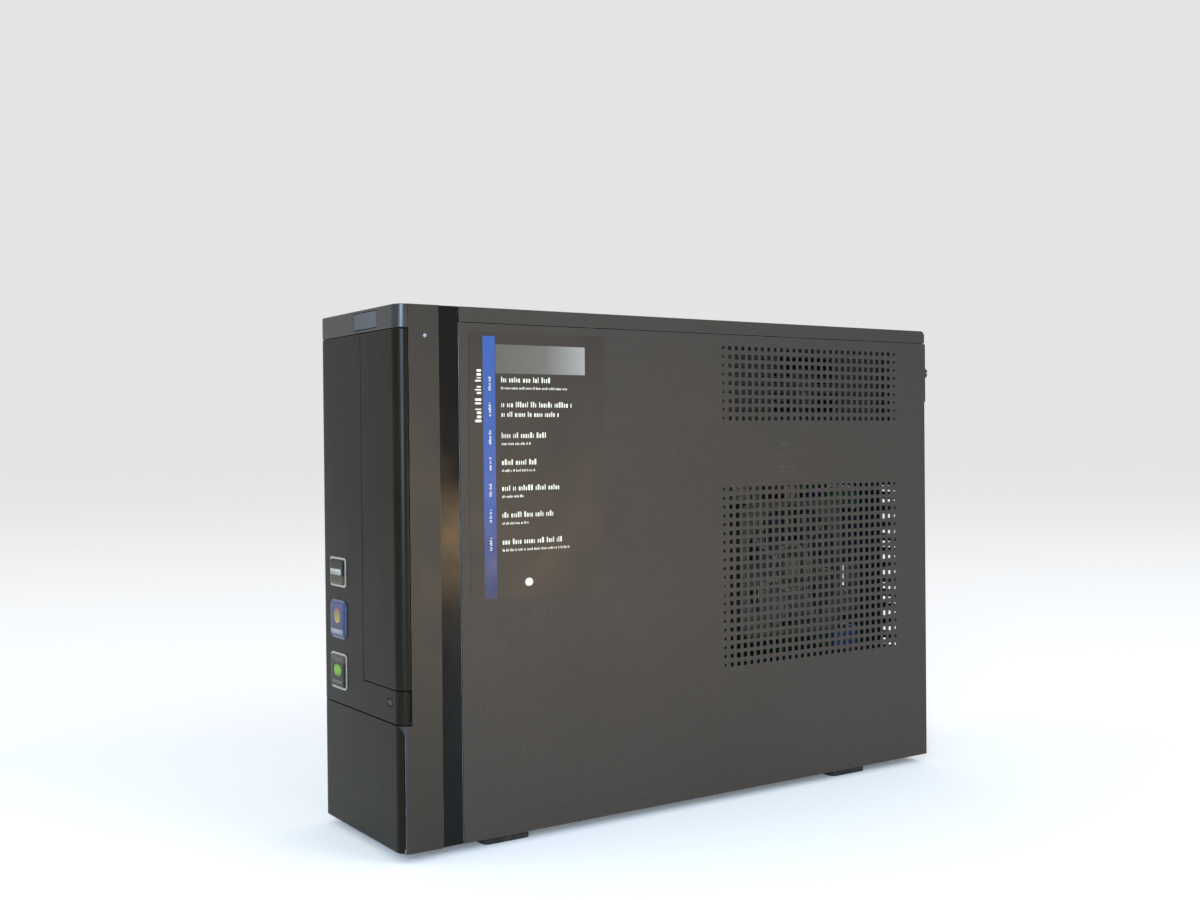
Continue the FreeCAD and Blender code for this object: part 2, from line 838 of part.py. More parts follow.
def make_front_frame():
    through = ("chassis_front - past", "chassis_front + steel + past")
    plate = box((f"-{WALL}", f"{WALL} - cover_gap"), ("chassis_front", "chassis_front + steel"),
                (FLOOR, "tower_top - steel"))
    openings = [
        box(("cage_left + steel", "optical_right + optical_clearance"), through,
            ("optical_bottom - optical_clearance", "optical_top + optical_clearance")),
        box(("cable_opening_left", "cable_opening_right"), through,
            ("cable_opening_bottom", "cable_opening_top")),
        box((f"{WALL} - flange_depth - rail_clearance", f"{WALL} + past"), through,
            ("cover_top_seam - seam_clearance", "cover_top_seam + steel + seam_clearance")),
    ]
    for left, right, bottom, count in (("intake_left", "intake_right", "intake_bottom", 12),
                                       ("lower_intake_left", "lower_intake_right", "lower_intake_bottom", 7)):
        for line in range(count):
            low = f"{bottom} + {line} * intake_rise"
            openings.append(box((left, right), through, (low, f"{low} + intake_height")))
    node("front_frame", cut(plate, group(*openings)))


# ---------------------------------------------------------------- side cover

def square_hole(y, z, side):
    half = side / 2
    x = size(WALL)
    corners = [(-half, -half), (-half, half), (half, half), (half, -half), (-half, -half)]
    return Part.makePolygon([FreeCAD.Vector(x, y + dy, z + dz) for dy, dz in corners])


def vent_field(bottom, columns, rows):
    """Square holes on a grid, smaller in the outermost ring and smaller again at its ends."""
    sides = [size(name) for name in ("vent_edge_hole", "vent_second_hole", "vent_hole")]
    holes = []
    for column in range(columns):
        from_end = min(column, columns - 1 - column)
        for line in range(rows):
            from_edge = min(line, rows - 1 - line)
            side = sides[min(from_end, from_edge + 1, len(sides) - 1)]
            y = size("vent_front") + column * size("vent_pitch")
            z = size(bottom) + line * size("vent_rise")
            holes.append(square_hole(y, z, side))
    return holes


def vented_sheet():
    """The cover's flat sheet, with its upper and lower fields of vent holes."""
    x = size(WALL)
    front, rear = size("chassis_front"), size("rear_face")
    low, high = size("foot_height"), size("cover_top_seam - cover_gap")
    corners = [(front, low), (rear, low), (rear, high), (front, high), (front, low)]
    outline = Part.makePolygon([FreeCAD.Vector(x, y, z) for y, z in corners])
    holes = vent_field("lower_vent_bottom", 29, 21) + vent_field("upper_vent_bottom", 29, 9)
    face = Part.Face([outline] + holes)
    feature = doc.addObject("Part::Feature", "VentedSheet")
    feature.Shape = face.extrude(FreeCAD.Vector(size("steel"), 0, 0))
    feature.Placement = FreeCAD.Placement()
    return feature


def make_side_cover():
    node("side_cover", vented_sheet())
    inward = (f"{WALL} - flange_depth", WALL)
    length = ("flange_front", "rear_face")
    upper = "cover_top_seam - flange_drop"
    lower = "foot_height + flange_drop"
    rails = [box(inward, length, (low, f"{low} + steel")) for low in (upper, lower)]
    centre = ("thumbscrew_x", "thumbscrew_z")
    seat = "rear_face + tab_thickness"
    tab = box(("tab_left", SKIN), ("rear_face", seat), ("tab_bottom", "tab_top"))
    tab_hole = rod("Y", centre, ("rear_face - past", f"{seat} + past"), "thumbscrew_shank_radius")
    node("cover_rails", group(*rails, cut(tab, tab_hole)))

    face = f"{seat} + thumbscrew_head"
    head = rod("Y", centre, (seat, face), "thumbscrew_head_radius")
    shank = rod("Y", centre, ("thumbscrew_tip", seat), "thumbscrew_shank_radius")
    slot = box(about("thumbscrew_x", "thumbscrew_head_radius * 2"),
               (f"{face} - thumbscrew_slot_depth", f"{face} + past"),
               about("thumbscrew_z", "thumbscrew_slot_width"))
    node("cover_thumbscrew", cut(fuse(head, shank), slot))

    node("service_label", slab("label_height", "label_length", "label_thickness", "label_corner",
                               (SKIN, "label_front", "label_bottom + label_height"), "X"))


# ---------------------------------------------------------------- front bezel

def front_prism(inset):
    """The bezel's outer form, or the same form set in all round by an inset."""
    block = box((f"-{SIDE} + {inset}", f"{SIDE} - ({inset})"), (f"front_face + {inset}", "skirt_rear"),
                ("foot_height", "tower_top"))
    front = size(f"front_face + {inset}")
    return rounded(block, f"corner_radius - ({inset})", "Z", lambda centre: abs(centre.y - front) < 0.01)


def front_shell(left, right, bottom, top):
    """A piece of the glossy skin that wraps round the front corners."""
    zone = box((left, right), ("front_face - past", "panel_wrap_rear"), (bottom, top))
    return cut(common(front_prism("0"), zone), front_prism("panel_wall"))


def panel_zone():
    """The space that the glossy skin takes off the bezel, from just below the door's rounded corners."""
    zone = box((f"-{SIDE} - past", f"{SIDE} + past"),
               ("front_face - past", "panel_wrap_rear + cover_gap / 2"),
               ("door_top - cover_gap", "tower_top + past"))
    return cut(zone, front_prism("panel_wall + cover_gap"))


def hinge_relief():
    across = ("-door_half_width - cover_gap", "door_half_width + cover_gap")
    depth = ("front_face - past", "hinge_relief_back")
    below = "foot_height - past"
    slot = box(across, depth, (below, "hinge_relief_top"))
    pockets = []
    for low, high in (("-hinge_knuckle_outer - hinge_side_gap", "-hinge_knuckle_inner + hinge_side_gap"),
                      ("hinge_knuckle_inner - hinge_side_gap", "hinge_knuckle_outer + hinge_side_gap")):
        pockets.append(box((low, high), depth, (below, "hinge_z + hinge_knuckle_radius + hinge_top_gap")))
    return [slot] + pockets


def front_usb_centres():
    return [
        (f"(front_usb_left + {column} * front_usb_pitch)", f"(front_usb_low + {line} * front_usb_rise)")
        for column in range(2)
        for line in range(2)
    ]


def front_jack_centres():
    return [(f"(front_usb_left + {column} * front_usb_pitch)", "front_jack_z") for column in range(2)]


def eject_hole():
    return box(about("eject_x", "eject_width + 2 * button_clearance"),
               ("front_face - past", "bezel_front_wall_back + past"),
               about("eject_z", "eject_height + 2 * button_clearance"))


def front_wall_cutouts():
    """Openings in the bezel's front wall, behind the door and the glossy skin."""
    through = ("front_face - past", "bezel_front_wall_back + past")
    cutouts = [
        box(("drive_window_left", "drive_window_right"), through,
            ("drive_window_bottom", "drive_window_top")),
        box(("power_left - power_clearance", "power_left + power_width + power_clearance"), through,
            ("power_bottom - button_clearance", "power_bottom + power_height")),
        eject_hole(),
        box(("reader_left - port_gap", "reader_right + port_gap"), through,
            ("reader_bottom - port_gap", "reader_top + port_gap")),
    ]
    for x, z in front_usb_centres():
        cutouts.append(box(about(x, "usb_width + 2 * port_gap"), through,
                           about(z, "usb_height + 2 * port_gap")))
    for x, z in front_jack_centres():
        cutouts.append(rod("Y", (x, z), through, "jack_radius + port_gap"))
    return cutouts


def side_notch():
    """The dark finger notch in the near side of the front, above the door."""
    return box((f"{SIDE} - side_notch_depth", f"{SIDE} + past"), ("side_notch_front", "panel_wrap_rear"),
               ("side_notch_bottom", "side_notch_top"))


def make_front_bezel():
    cavity = box((f"-{SIDE} + bezel_wall", f"{SIDE} - bezel_wall"),
                 ("bezel_front_wall_back", "skirt_rear + past"),
                 ("foot_height + bezel_wall", "tower_top - bezel_wall"))
    steps = []
    for low, high in ((f"-{SIDE} - past", f"-{SIDE} + skirt_inset"),
                      (f"{SIDE} - skirt_inset", f"{SIDE} + past")):
        steps.append(box((low, high), ("wing_rear", "skirt_rear + past"),
                         ("foot_height - past", "tower_top + past")))
    door_zone = box(("-door_half_width - cover_gap", "door_half_width + cover_gap"),
                    ("front_face - past", "door_recess"),
                    ("foot_height - past", "door_top"))
    top = size("door_top") - 0.01
    door_zone = rounded(door_zone, "door_corner + past", "Y", lambda centre: centre.z > top)
    led_bore = rod("X", ("led_y", "led_z"), (f"{SIDE} - 2 * bezel_wall", f"{SIDE} + past"),
                   "led_radius + led_gap")
    pin_bores = rod("X", ("hinge_y", "hinge_z"), ("-hinge_pin_outer", "hinge_pin_outer"), "hinge_pin_radius")
    hollow = cut(front_prism("0"), cavity, panel_zone(), door_zone, *steps, *hinge_relief(),
                 *front_wall_cutouts(), led_bore, pin_bores)
    switch_rib = box(about("(power_left + power_width / 2)", "switch_half_width * 2"),
                     ("switch_back", "switch_back + switch_rib"), ("switch_bottom", "tower_top - bezel_wall"))
    posts = [rod("Y", ("board_post_x", z), ("bezel_front_wall_back", "port_board_front"), "board_post_radius")
             for z in ("board_post_low", "board_post_high")]
    node("front_bezel", fuse(hollow, switch_rib, *posts))


def make_glossy_skin():
    beyond = f"{SIDE} + past"
    high = "cap_bottom - cover_gap"
    skin = front_shell(f"-({beyond})", beyond, "door_top + cover_gap", high)
    drive_zone = box(("drive_cover_left - cover_gap", beyond), ("front_face - past", "chassis_front"),
                     ("panel_bottom", "cap_bottom"))
    node("front_panel", cut(skin, drive_zone, side_notch(), eject_hole()))
    node("drive_cover", front_shell("drive_cover_left", beyond, "panel_bottom + cover_gap", high))
    cap = front_shell(f"-({beyond})", beyond, "cap_bottom", "tower_top")
    button_hole = box(("power_left", "power_left + power_width"), ("front_face - past", "panel_wrap_rear"),
                      ("power_bottom", "power_bottom + power_height"))
    node("bezel_top_cap", cut(cap, button_hole))


def make_buttons():
    centre = ("(power_left + power_width / 2)", "(power_bottom + power_height / 2)")
    plate = slab("power_width - 2 * button_clearance", "power_height - 2 * button_clearance",
                 "power_thickness", "power_corner",
                 ("power_left + button_clearance", "front_face",
                  "power_bottom + power_height - button_clearance"), "Y")
    stem = rod("Y", centre, ("front_face + power_thickness / 2", "power_stem_back"), "power_stem_radius")
    node("power_button", fuse(plate, stem))

    switch = box(about(centre[0], "switch_half_width * 2 - 2 * switch_margin"),
                 ("switch_front + switch_plunger", "switch_back"),
                 ("switch_bottom + switch_margin", "tower_top - bezel_wall - switch_margin"))
    plunger = rod("Y", centre, ("switch_front", "switch_back"), "switch_plunger_radius")
    node("power_switch", fuse(switch, plunger))

    node("eject_button", slab("eject_width", "eject_height", "eject_back - front_face", "eject_corner",
                              ("eject_x - eject_width / 2", "front_face", "eject_z + eject_height / 2"), "Y"))

    node("power_led", rod("X", ("led_y", "led_z"), (f"{SIDE} - bezel_wall", SIDE), "led_radius"))


def make_port_door():
    zone = box(("-door_half_width", "door_half_width"), ("front_face - past", "door_back"),
               ("foot_height + cover_gap", "door_top - cover_gap"))
    top = size("door_top - cover_gap") - 0.01
    plate = common(front_prism("0"), rounded(zone, "door_corner", "Y", lambda centre: centre.z > top))
    knuckles = []
    for low, high in (("-hinge_knuckle_outer", "-hinge_knuckle_inner"),
                      ("hinge_knuckle_inner", "hinge_knuckle_outer")):
        barrel = rod("X", ("hinge_y", "hinge_z"), (low, high), "hinge_knuckle_radius")
        neck = box((low, high), ("front_face + hinge_neck_inset", "hinge_y"),
                   about("hinge_z", "hinge_neck_height"))
        knuckles += [barrel, neck]
    bore = rod("X", ("hinge_y", "hinge_z"), (f"-{SIDE}", SIDE), "hinge_hole_radius")
    node("port_door", cut(fuse(plate, *knuckles), bore))

    pins = []
    for low, high in (("-hinge_pin_outer", "-hinge_knuckle_inner - hinge_pin_gap"),
                      ("hinge_knuckle_inner + hinge_pin_gap", "hinge_pin_outer")):
        pins.append(rod("X", ("hinge_y", "hinge_z"), (low, high), "hinge_pin_radius"))
    node("door_hinge_pins", group(*pins))


def make_badges():
    badges = []
    for place_name in ("upper", "middle", "lower"):
        bottom, height, corner = (f"{place_name}_badge_{part}" for part in ("bottom", "height", "corner"))
        badges.append(slab("badge_width", height, "badge_raise", corner,
                           ("badge_left", "front_face - badge_raise", f"{bottom} + {height}"), "Y"))
    node("front_badges", group(*badges))


def make_front_connectors():
    node("front_port_board", box(("-port_board_half_width", "port_board_half_width"),
                                 ("port_board_front", "port_board_front + board_thickness"),
                                 ("port_board_bottom", "port_board_top")))
    ports = []
    span = ("front_usb_front", "port_board_front")
    for x, z in front_usb_centres():
        ports.append(usb_socket(x, z, span))
    for x, z in front_jack_centres():
        barrel = rod("Y", (x, z), span, "jack_radius")
        bore = rod("Y", (x, z), ("front_usb_front - past", "front_usb_front + jack_depth"), "jack_bore")
        ports.append(cut(barrel, bore))
    node("front_ports", group(*ports))

    body = box(("reader_left", "reader_right"), span, ("reader_bottom", "reader_top"))
    mouth = ("front_usb_front - past", "front_usb_front + reader_depth")
    slots = []
    for card in ("large", "medium", "small"):
        low = f"{card}_card_bottom"
        left = "reader_left + reader_margin"
        slots.append(box((left, f"{left} + {card}_card_width"), mouth, (low, f"{low} + {card}_card_height")))
    node("card_reader", cut(body, *slots))


def usb_socket(x, z, span, turned=False):
    """A receptacle shell with its tongue, mouth towards the first end of the span."""
    width, height = "usb_width", "usb_height"
    if turned:
        width, height = height, width
    mouth, back = span
    sign = "+" if size(back) > size(mouth) else "-"
    outward = "-" if sign == "+" else "+"
    shell = box(about(x, width), sorted(span, key=size), about(z, height))
    deep = sorted((f"{mouth} {outward} past", f"{mouth} {sign} usb_depth"), key=size)
    hollow = box(about(x, f"{width} - 2 * usb_wall"), deep, about(z, f"{height} - 2 * usb_wall"))
    tongue_span = sorted((f"{mouth} {sign} usb_tongue_inset", f"{mouth} {sign} (usb_depth + past)"), key=size)
    tongue_width, tongue_height = "usb_tongue_width", "usb_tongue"
    shift_x, shift_z = "0", "usb_tongue_shift"
    if turned:
        tongue_width, tongue_height = tongue_height, tongue_width
        shift_x, shift_z = shift_z, shift_x
    tongue = box(about(f"({x} + {shift_x})", tongue_width), tongue_span,
                 about(f"({z} + {shift_z})", tongue_height))
    return fuse(cut(shell, hollow), tongue)


def make_feet():
    feet = []
    for x in ("-foot_side - foot_width", "foot_side"):
        for y in ("foot_front", "foot_rear"):
            feet.append(slab("foot_width", "foot_length", "foot_height", "foot_corner", (x, y, "0")))
    node("rubber_feet", group(*feet))


# ---------------------------------------------------------------- drives

def make_drive_cage():
    length = ("chassis_front + steel", "cage_rear")
    roof_z = "(optical_top + cage_lift)"
    wall = box(("cage_left", "cage_left + steel"), length, (FLOOR, roof_z))
    shelf = box(("cage_left", "cage_right"), length, ("shelf_z", "shelf_z + steel"))
    roof = box(("cage_left", "cage_right"), length, (roof_z, f"{roof_z} + steel"))
    windows = []
    for number in range(3):
        front = f"cage_window_front + {number} * cage_window_spacing"
        for level in ("lower", "upper"):
            windows.append(box(("cage_left - past", "cage_left + steel + past"),
                               (front, f"{front} + cage_window_length"),
                               (f"cage_{level}_window_bottom", f"cage_{level}_window_top")))
    node("drive_cage", cut(fuse(wall, shelf, roof), group(*windows), group(*screw_holes("X")),
                           group(*screw_holes("Z"))))


def make_optical_drive():
    left = "cage_left + steel"
    outer = box((left, "optical_right"), ("optical_front", "optical_rear"), ("optical_bottom", "optical_top"))
    inner = box((f"{left} + steel", "optical_right - steel"),
                ("optical_front + optical_face", "optical_rear - optical_back_wall"),
                ("optical_bottom + steel", "optical_top - steel"))
    slot = box(("tray_left - tray_clearance", "tray_left + tray_thickness + tray_clearance"),
               ("optical_front - past", "optical_front + optical_face + past"),
               ("tray_bottom - tray_clearance", "tray_bottom + tray_height + tray_clearance"))
    node("optical_drive_housing", cut(outer, inner, slot, group(*screw_holes("X"))))

    middle = "(tray_bottom + tray_height / 2)"
    plate = box(("deck_left", "deck_left + deck_thickness"), ("deck_front", "deck_rear"),
                about(middle, "deck_height"))
    feet = [box((f"{left} + steel", "deck_left"), about(y, "deck_foot"),
                about(f"({middle} {side} deck_foot_reach)", "deck_foot"))
            for y in ("(deck_front + deck_foot)", "(deck_rear - deck_foot)") for side in "-+"]
    on_plate = "deck_left + deck_thickness - steel"
    spindle = rod("X", ("disc_y", middle), (on_plate, "spindle_top"), "spindle_radius")
    cone = rod("X", ("disc_y", middle), ("spindle_top - steel", "spindle_tip"), "cone_radius")
    sled = box(("sled_left", "sled_right"), ("sled_front", "sled_front + sled_length"),
               about(middle, "sled_width"))
    arms = box(("sled_left - steel", "sled_right - sled_arm_drop"),
               about("(sled_front + sled_length / 2)", "sled_length / 2"),
               about(middle, "2 * rail_offset + 2 * rail_block"))
    rails = []
    for side in "-+":
        z = f"({middle} {side} rail_offset)"
        rails.append(rod("Y", ("rail_x", z), ("rail_front", "rail_rear"), "rail_radius"))
        for y in ("rail_front", "rail_rear"):
            rails.append(box((on_plate, "rail_x + rail_radius"), about(y, "rail_block"),
                             about(z, "2 * rail_block")))
    node("optical_deck", fuse(plate, *feet, spindle, cone, sled, arms, *rails))


def make_drive_tray():
    back_of_cover = "front_face + panel_wall"
    plate = slab("tray_height", f"tray_rear - ({back_of_cover})", "tray_thickness", "tray_corner",
                 ("tray_left", back_of_cover, "tray_bottom + tray_height"), "X")
    top = "tray_left + tray_thickness"
    through = ("tray_left - past", f"{top} + past")
    centre = ("disc_y", "(tray_bottom + tray_height / 2)")
    recess = rod("X", centre, (f"{top} - disc_recess_depth", f"{top} + past"), "disc_recess_radius")
    small = rod("X", centre, (f"{top} - small_disc_depth", f"{top} + past"), "small_disc_radius")
    hub_hole = rod("X", centre, through, "spindle_radius + disc_hub_gap")
    sled_window = box(through, ("disc_y", "disc_y + sled_window_length"), about(centre[1], "sled_width"))
    node("drive_tray", cut(plate, fuse(recess, small, hub_hole, sled_window)))


def make_hard_drive():
    right = "(hdd_left + hdd_thickness)"
    bottom = "(shelf_z - hdd_width)"
    under = "hdd_left + hdd_board_space"
    block = box((under, right), ("hdd_front", "hdd_rear"), (bottom, "shelf_z"))
    lid = slab("hdd_width - 2 * hdd_lid_margin", "hdd_rear - hdd_front - 2 * hdd_lid_margin", "hdd_lid_raise",
               "hdd_lid_corner", (right, "hdd_front + hdd_lid_margin", "shelf_z - hdd_lid_margin"), "X")
    cap = rod("X", ("hdd_front + hdd_spindle", f"{bottom} + hdd_width / 2"),
              (right, f"{right} + hdd_cap_raise"),
              "hdd_cap_radius")
    board = box((f"{under} - board_thickness", under), ("hdd_rear - hdd_board_length", "hdd_rear"),
                (f"{bottom} + hdd_board_margin", "shelf_z - hdd_board_margin"))
    socket_x = f"({under} + hdd_socket_lift + hdd_socket_height / 2)"
    socket_z = "(hdd_socket_bottom + hdd_socket_width / 2)"
    socket = box(about(socket_x, "hdd_socket_height"), ("hdd_rear - hdd_socket_depth", "hdd_rear + past"),
                 about(socket_z, "hdd_socket_width"))
    tongue = box(about(socket_x, "hdd_tongue"), ("hdd_rear - hdd_socket_depth - past", "hdd_rear"),
                 about(socket_z, "hdd_tongue_width"))
    node("hard_drive", fuse(cut(block, socket, group(*screw_holes("Z"))), lid, cap, board, tongue))


# ---------------------------------------------------------------- motherboard

def on_board(y, z, height, lift="0"):
    """A block standing on the board's component side."""
    return box((f"{BOARD} + {lift}", f"{BOARD} + {lift} + {height}"), y, z)


def make_motherboard():
    plate = box((BOARD_BACK, BOARD), ("main_board_front", "main_board_rear"),
                ("main_board_bottom", "main_board_top"))
    node("motherboard", cut(plate, group(*screw_holes("X"))))
    standoffs = []
    for axis, centre, seat, _ in chassis_screw_places():
        if axis == "X" and seat == BOARD:
            span = (f"-{WALL}", BOARD_BACK)
            standoffs.append(cut(rod("X", centre, span, "standoff_radius"),
                                 rod("X", centre, span, "screw_radius")))
    node("board_standoffs", group(*standoffs))


def make_processor():
    socket = on_board(about("cpu_y", "socket_side"), about("cpu_z", "socket_side"), "socket_height")
    well_side = "cpu_side + 2 * cpu_clearance"
    well = on_board(about("cpu_y", well_side), about("cpu_z", well_side), "socket_height", "cpu_lift")
    node("cpu_socket", cut(socket, well))
    carrier = on_board(about("cpu_y", "cpu_side"), about("cpu_z", "cpu_side"), "cpu_carrier", "cpu_lift")
    spreader = on_board(about("cpu_y", "cpu_spreader_side"), about("cpu_z", "cpu_spreader_side"),
                        "cpu_height - cpu_carrier", "cpu_lift + cpu_carrier")
    node("cpu", fuse(carrier, spreader))

    lift = "(cpu_lift + cpu_height)"
    base = on_board(about("cpu_y", "heatsink_side"), about("cpu_z", "heatsink_side"), "heatsink_base", lift)
    fin_foot = f"{BOARD} + {lift} + heatsink_base"
    fins = []
    count = 18
    for number in range(count):
        front = f"cpu_y - heatsink_side / 2 + {number} * (heatsink_side - fin_thickness) / {count - 1}"
        fins.append(box((f"{fin_foot} - steel", "fin_end"), (front, f"{front} + fin_thickness"),
                        about("cpu_z", "heatsink_side")))
    node("heatsink", fuse(base, *fins))


def fan_frame(x, y, z, side, bore, hub):
    """A square frame with a round throat, and four arms that carry the motor's seat."""
    block = rounded(box((x, f"{x} + fan_depth"), about(y, side), about(z, side)), "fan_corner", "X")
    through = (f"{x} - past", f"{x} + fan_depth + past")
    throat = rod("X", (y, z), through, bore)
    arm_span = (x, f"{x} + fan_arm_thickness")
    seat = rod("X", (y, z), arm_span, hub)
    across = f"{bore} * 2 + 2 * past"
    arms = [
        box(arm_span, about(y, across), about(z, "fan_arm_width")),
        box(arm_span, about(y, "fan_arm_width"), about(z, across)),
    ]
    offset = f"({side} / 2 - fan_hole_inset)"
    holes = [rod("X", (f"{y} {dy} {offset}", f"{z} {dz} {offset}"), through, "fan_hole_radius")
             for dy in "-+" for dz in "-+"]
    return cut(fuse(cut(block, throat), seat, *arms), group(*holes))


def fan_rotor(x, y, z, tip, hub):
    """A hub with flat blades, pitched and trimmed to the tip circle."""
    blade_count, blade_pitch = 7, 58
    chord = size(f"{tip} * 0.62")
    root = size(f"{hub} * 0.8")
    low, high = f"{x} + fan_rotor_lift", f"{x} + fan_depth - past"
    centre = FreeCAD.Vector(size(f"({low} + {high}) / 2"), size(y), size(z))
    parts = [rod("X", (y, z), (low, high), hub)]
    for number in range(blade_count):
        blade = doc.addObject("Part::Box", "Blade")
        blade.setExpression("Length", expr("fan_blade_thickness"))
        blade.Width = chord
        blade.setExpression("Height", expr(f"{tip} * 0.985 - {hub} * 0.8"))
        turn = FreeCAD.Rotation(FreeCAD.Vector(1, 0, 0), 360.0 * number / blade_count)
        pitch = FreeCAD.Rotation(FreeCAD.Vector(0, 0, 1), blade_pitch)
        start = FreeCAD.Vector(-size("fan_blade_thickness") / 2, -chord / 2, root)
        spin = FreeCAD.Placement(centre, turn).multiply(FreeCAD.Placement(FreeCAD.Vector(), pitch))
        blade.Placement = spin.multiply(FreeCAD.Placement(start, FreeCAD.Rotation()))
        parts.append(blade)
    return common(fuse(*parts), rod("X", (y, z), (low, high), tip))


def make_cooler_fan():
    centre = ("fin_end", "cpu_y", "cpu_z")
    node("cooler_fan_frame", fan_frame(*centre, "fan_side", "fan_bore", "fan_hub"))
    node("cooler_fan_rotor", fan_rotor(*centre, "fan_tip", "fan_hub"))


def make_memory():
    slots = []
    modules = []
    top = "memory_slot_bottom + memory_slot_length"
    middle = "(memory_slot_bottom + memory_slot_length / 2)"
    pivots = ("memory_slot_bottom - latch_pivot", f"{top} + latch_pivot")
    ear_spans = (("memory_slot_bottom - latch_length", "memory_slot_bottom"), (top, f"{top} + latch_length"))
    for number in range(2):
        y = f"(memory_front_y + {number} * memory_pitch)"
        body = on_board(about(y, "memory_slot_width"), ("memory_slot_bottom", top), "memory_slot_height")
        groove = on_board(about(y, "memory_groove"), about(middle, "module_length + past"),
                          "memory_slot_height", "memory_groove_floor")
        cheeks = ((f"{y} - latch_ear_outer", f"{y} - latch_ear_inner"),
                  (f"{y} + latch_ear_inner", f"{y} + latch_ear_outer"))
        ears = [on_board(cheek, span, "memory_slot_height") for cheek in cheeks for span in ear_spans]
        bores = [rod("Y", (f"{BOARD} + latch_pivot_height", pivot), about(y, "memory_slot_width + 2"),
                     "latch_hole_radius") for pivot in pivots]
        slots.append(cut(fuse(body, *ears), groove, *bores))
        lift = "memory_groove_floor + module_lift"
        parts = [on_board(about(y, "module_thickness"), about(middle, "module_length"), "module_height",
                          lift)]
        chip_count = 8
        for chip in range(chip_count):
            centre = f"({middle} + chip_spread * ({chip} / {chip_count - 1} - 0.5))"
            parts.append(on_board(about(y, "module_thickness + 2 * chip_thickness"),
                                  about(centre, "chip_width"),
                                  "chip_height", "memory_groove_floor + chip_height"))
        modules.append(fuse(*parts))
    node("memory_slots", group(*slots))
    node("memory_modules", group(*modules))
    make_memory_latches(top)


def make_memory_latches(top):
    low_end = ("memory_slot_bottom - latch_length + latch_end_gap", "memory_slot_bottom - latch_slot_gap")
    high_end = (f"{top} + latch_slot_gap", f"{top} + latch_length - latch_end_gap")
    ends = (("lower", low_end, "memory_slot_bottom - latch_pivot"),
            ("upper", high_end, f"{top} + latch_pivot"))
    for number, row in enumerate(("front", "rear")):
        y = f"(memory_front_y + {number} * memory_pitch)"
        for end, span, pivot in ends:
            lever = box((f"{BOARD} + latch_pivot_height - latch_foot", f"{BOARD} + latch_top"),
                        about(y, "latch_width"), span)
            pin = rod("Y", (f"{BOARD} + latch_pivot_height", pivot), about(y, "latch_pin_length"),
                      "latch_pin_radius")
            node(f"memory_latch_{row}_{end}", fuse(lever, pin))


def make_board_parts():
    slots = []
    for number, front in enumerate(("short_slot_front", "long_slot_front")):
        middle = slot_centre(number)
        body = on_board((front, "expansion_rear"), about(middle, "expansion_width"), "expansion_height")
        groove = on_board((f"{front} + expansion_groove_end", "expansion_rear - expansion_groove_end"),
                          about(middle, "expansion_groove"), "expansion_height",
                          "expansion_height - expansion_groove_depth")
        slots.append(cut(body, groove))
    node("expansion_slots", group(*slots))

    upward = ("chipset_bottom", "chipset_bottom + chipset_side")
    fins = [on_board(("chipset_front", "chipset_front + chipset_side"), upward, "chipset_base")]
    count = 9
    for number in range(count):
        front = f"chipset_front + {number} * (chipset_side - chipset_fin) / {count - 1}"
        fins.append(on_board((front, f"{front} + chipset_fin"), upward, "chipset_height"))
    node("chipset_heatsink", fuse(*fins))

    cans = []
    for row, count in (("front", 6), ("rear", 4)):
        for number in range(count):
            centre = (f"{row}_cans_y", f"{row}_cans_bottom + {number} * can_pitch")
            cans.append(rod("X", centre, (BOARD, f"{BOARD} + can_height"), "can_radius"))
    node("board_capacitors", group(*cans))

    centre = ("coin_y", "coin_z")
    holder = rod("X", centre, (BOARD, f"{BOARD} + coin_holder_height"), "coin_holder_radius")
    cell = rod("X", centre, (BOARD, f"{BOARD} + coin_top"), "coin_radius")
    node("coin_cell", fuse(holder, cell))

    sockets = [
        on_board(("power_socket_front", "power_socket_front + power_socket_length"),
                 ("power_socket_bottom", "power_socket_bottom + power_socket_width"), "power_socket_height"),
        on_board(("header_front", "header_front + header_width"),
                 ("header_bottom", "header_bottom + header_length"), "header_height"),
    ]
    for number in range(2):
        low = f"data_socket_bottom + {number} * data_socket_spacing"
        sockets.append(on_board(("data_socket_front", "data_socket_front + data_socket_width"),
                                (low, f"{low} + data_socket_length"), "data_socket_height"))
    node("board_sockets", group(*sockets))


# ---------------------------------------------------------------- rear connectors

# Each has a middle height up the rear, a width along Z and a height off the board:
# NAME_z, NAME_width and NAME_height.
REAR_CONNECTORS = ("keyboard_mouse_ports", "video_port", "rear_usb_ports", "lan_port", "rear_audio_jacks")


def connector_block(name, front="connector_front"):
    return on_board((front, "connector_face"), about(f"{name}_z", f"{name}_width"), f"{name}_height")


def make_keyboard_mouse_ports():
    name = "keyboard_mouse_ports"
    mouth = ("connector_face - round_port_depth", "connector_face + past")
    rings = []
    for number in range(2):
        centre = (f"{BOARD} + round_port_lift + {number} * round_port_pitch", f"{name}_z")
        rings.append(cut(rod("Y", centre, mouth, "round_port_radius"),
                         rod("Y", centre, mouth, "round_port_core")))
    node(name, cut(connector_block(name), group(*rings)))


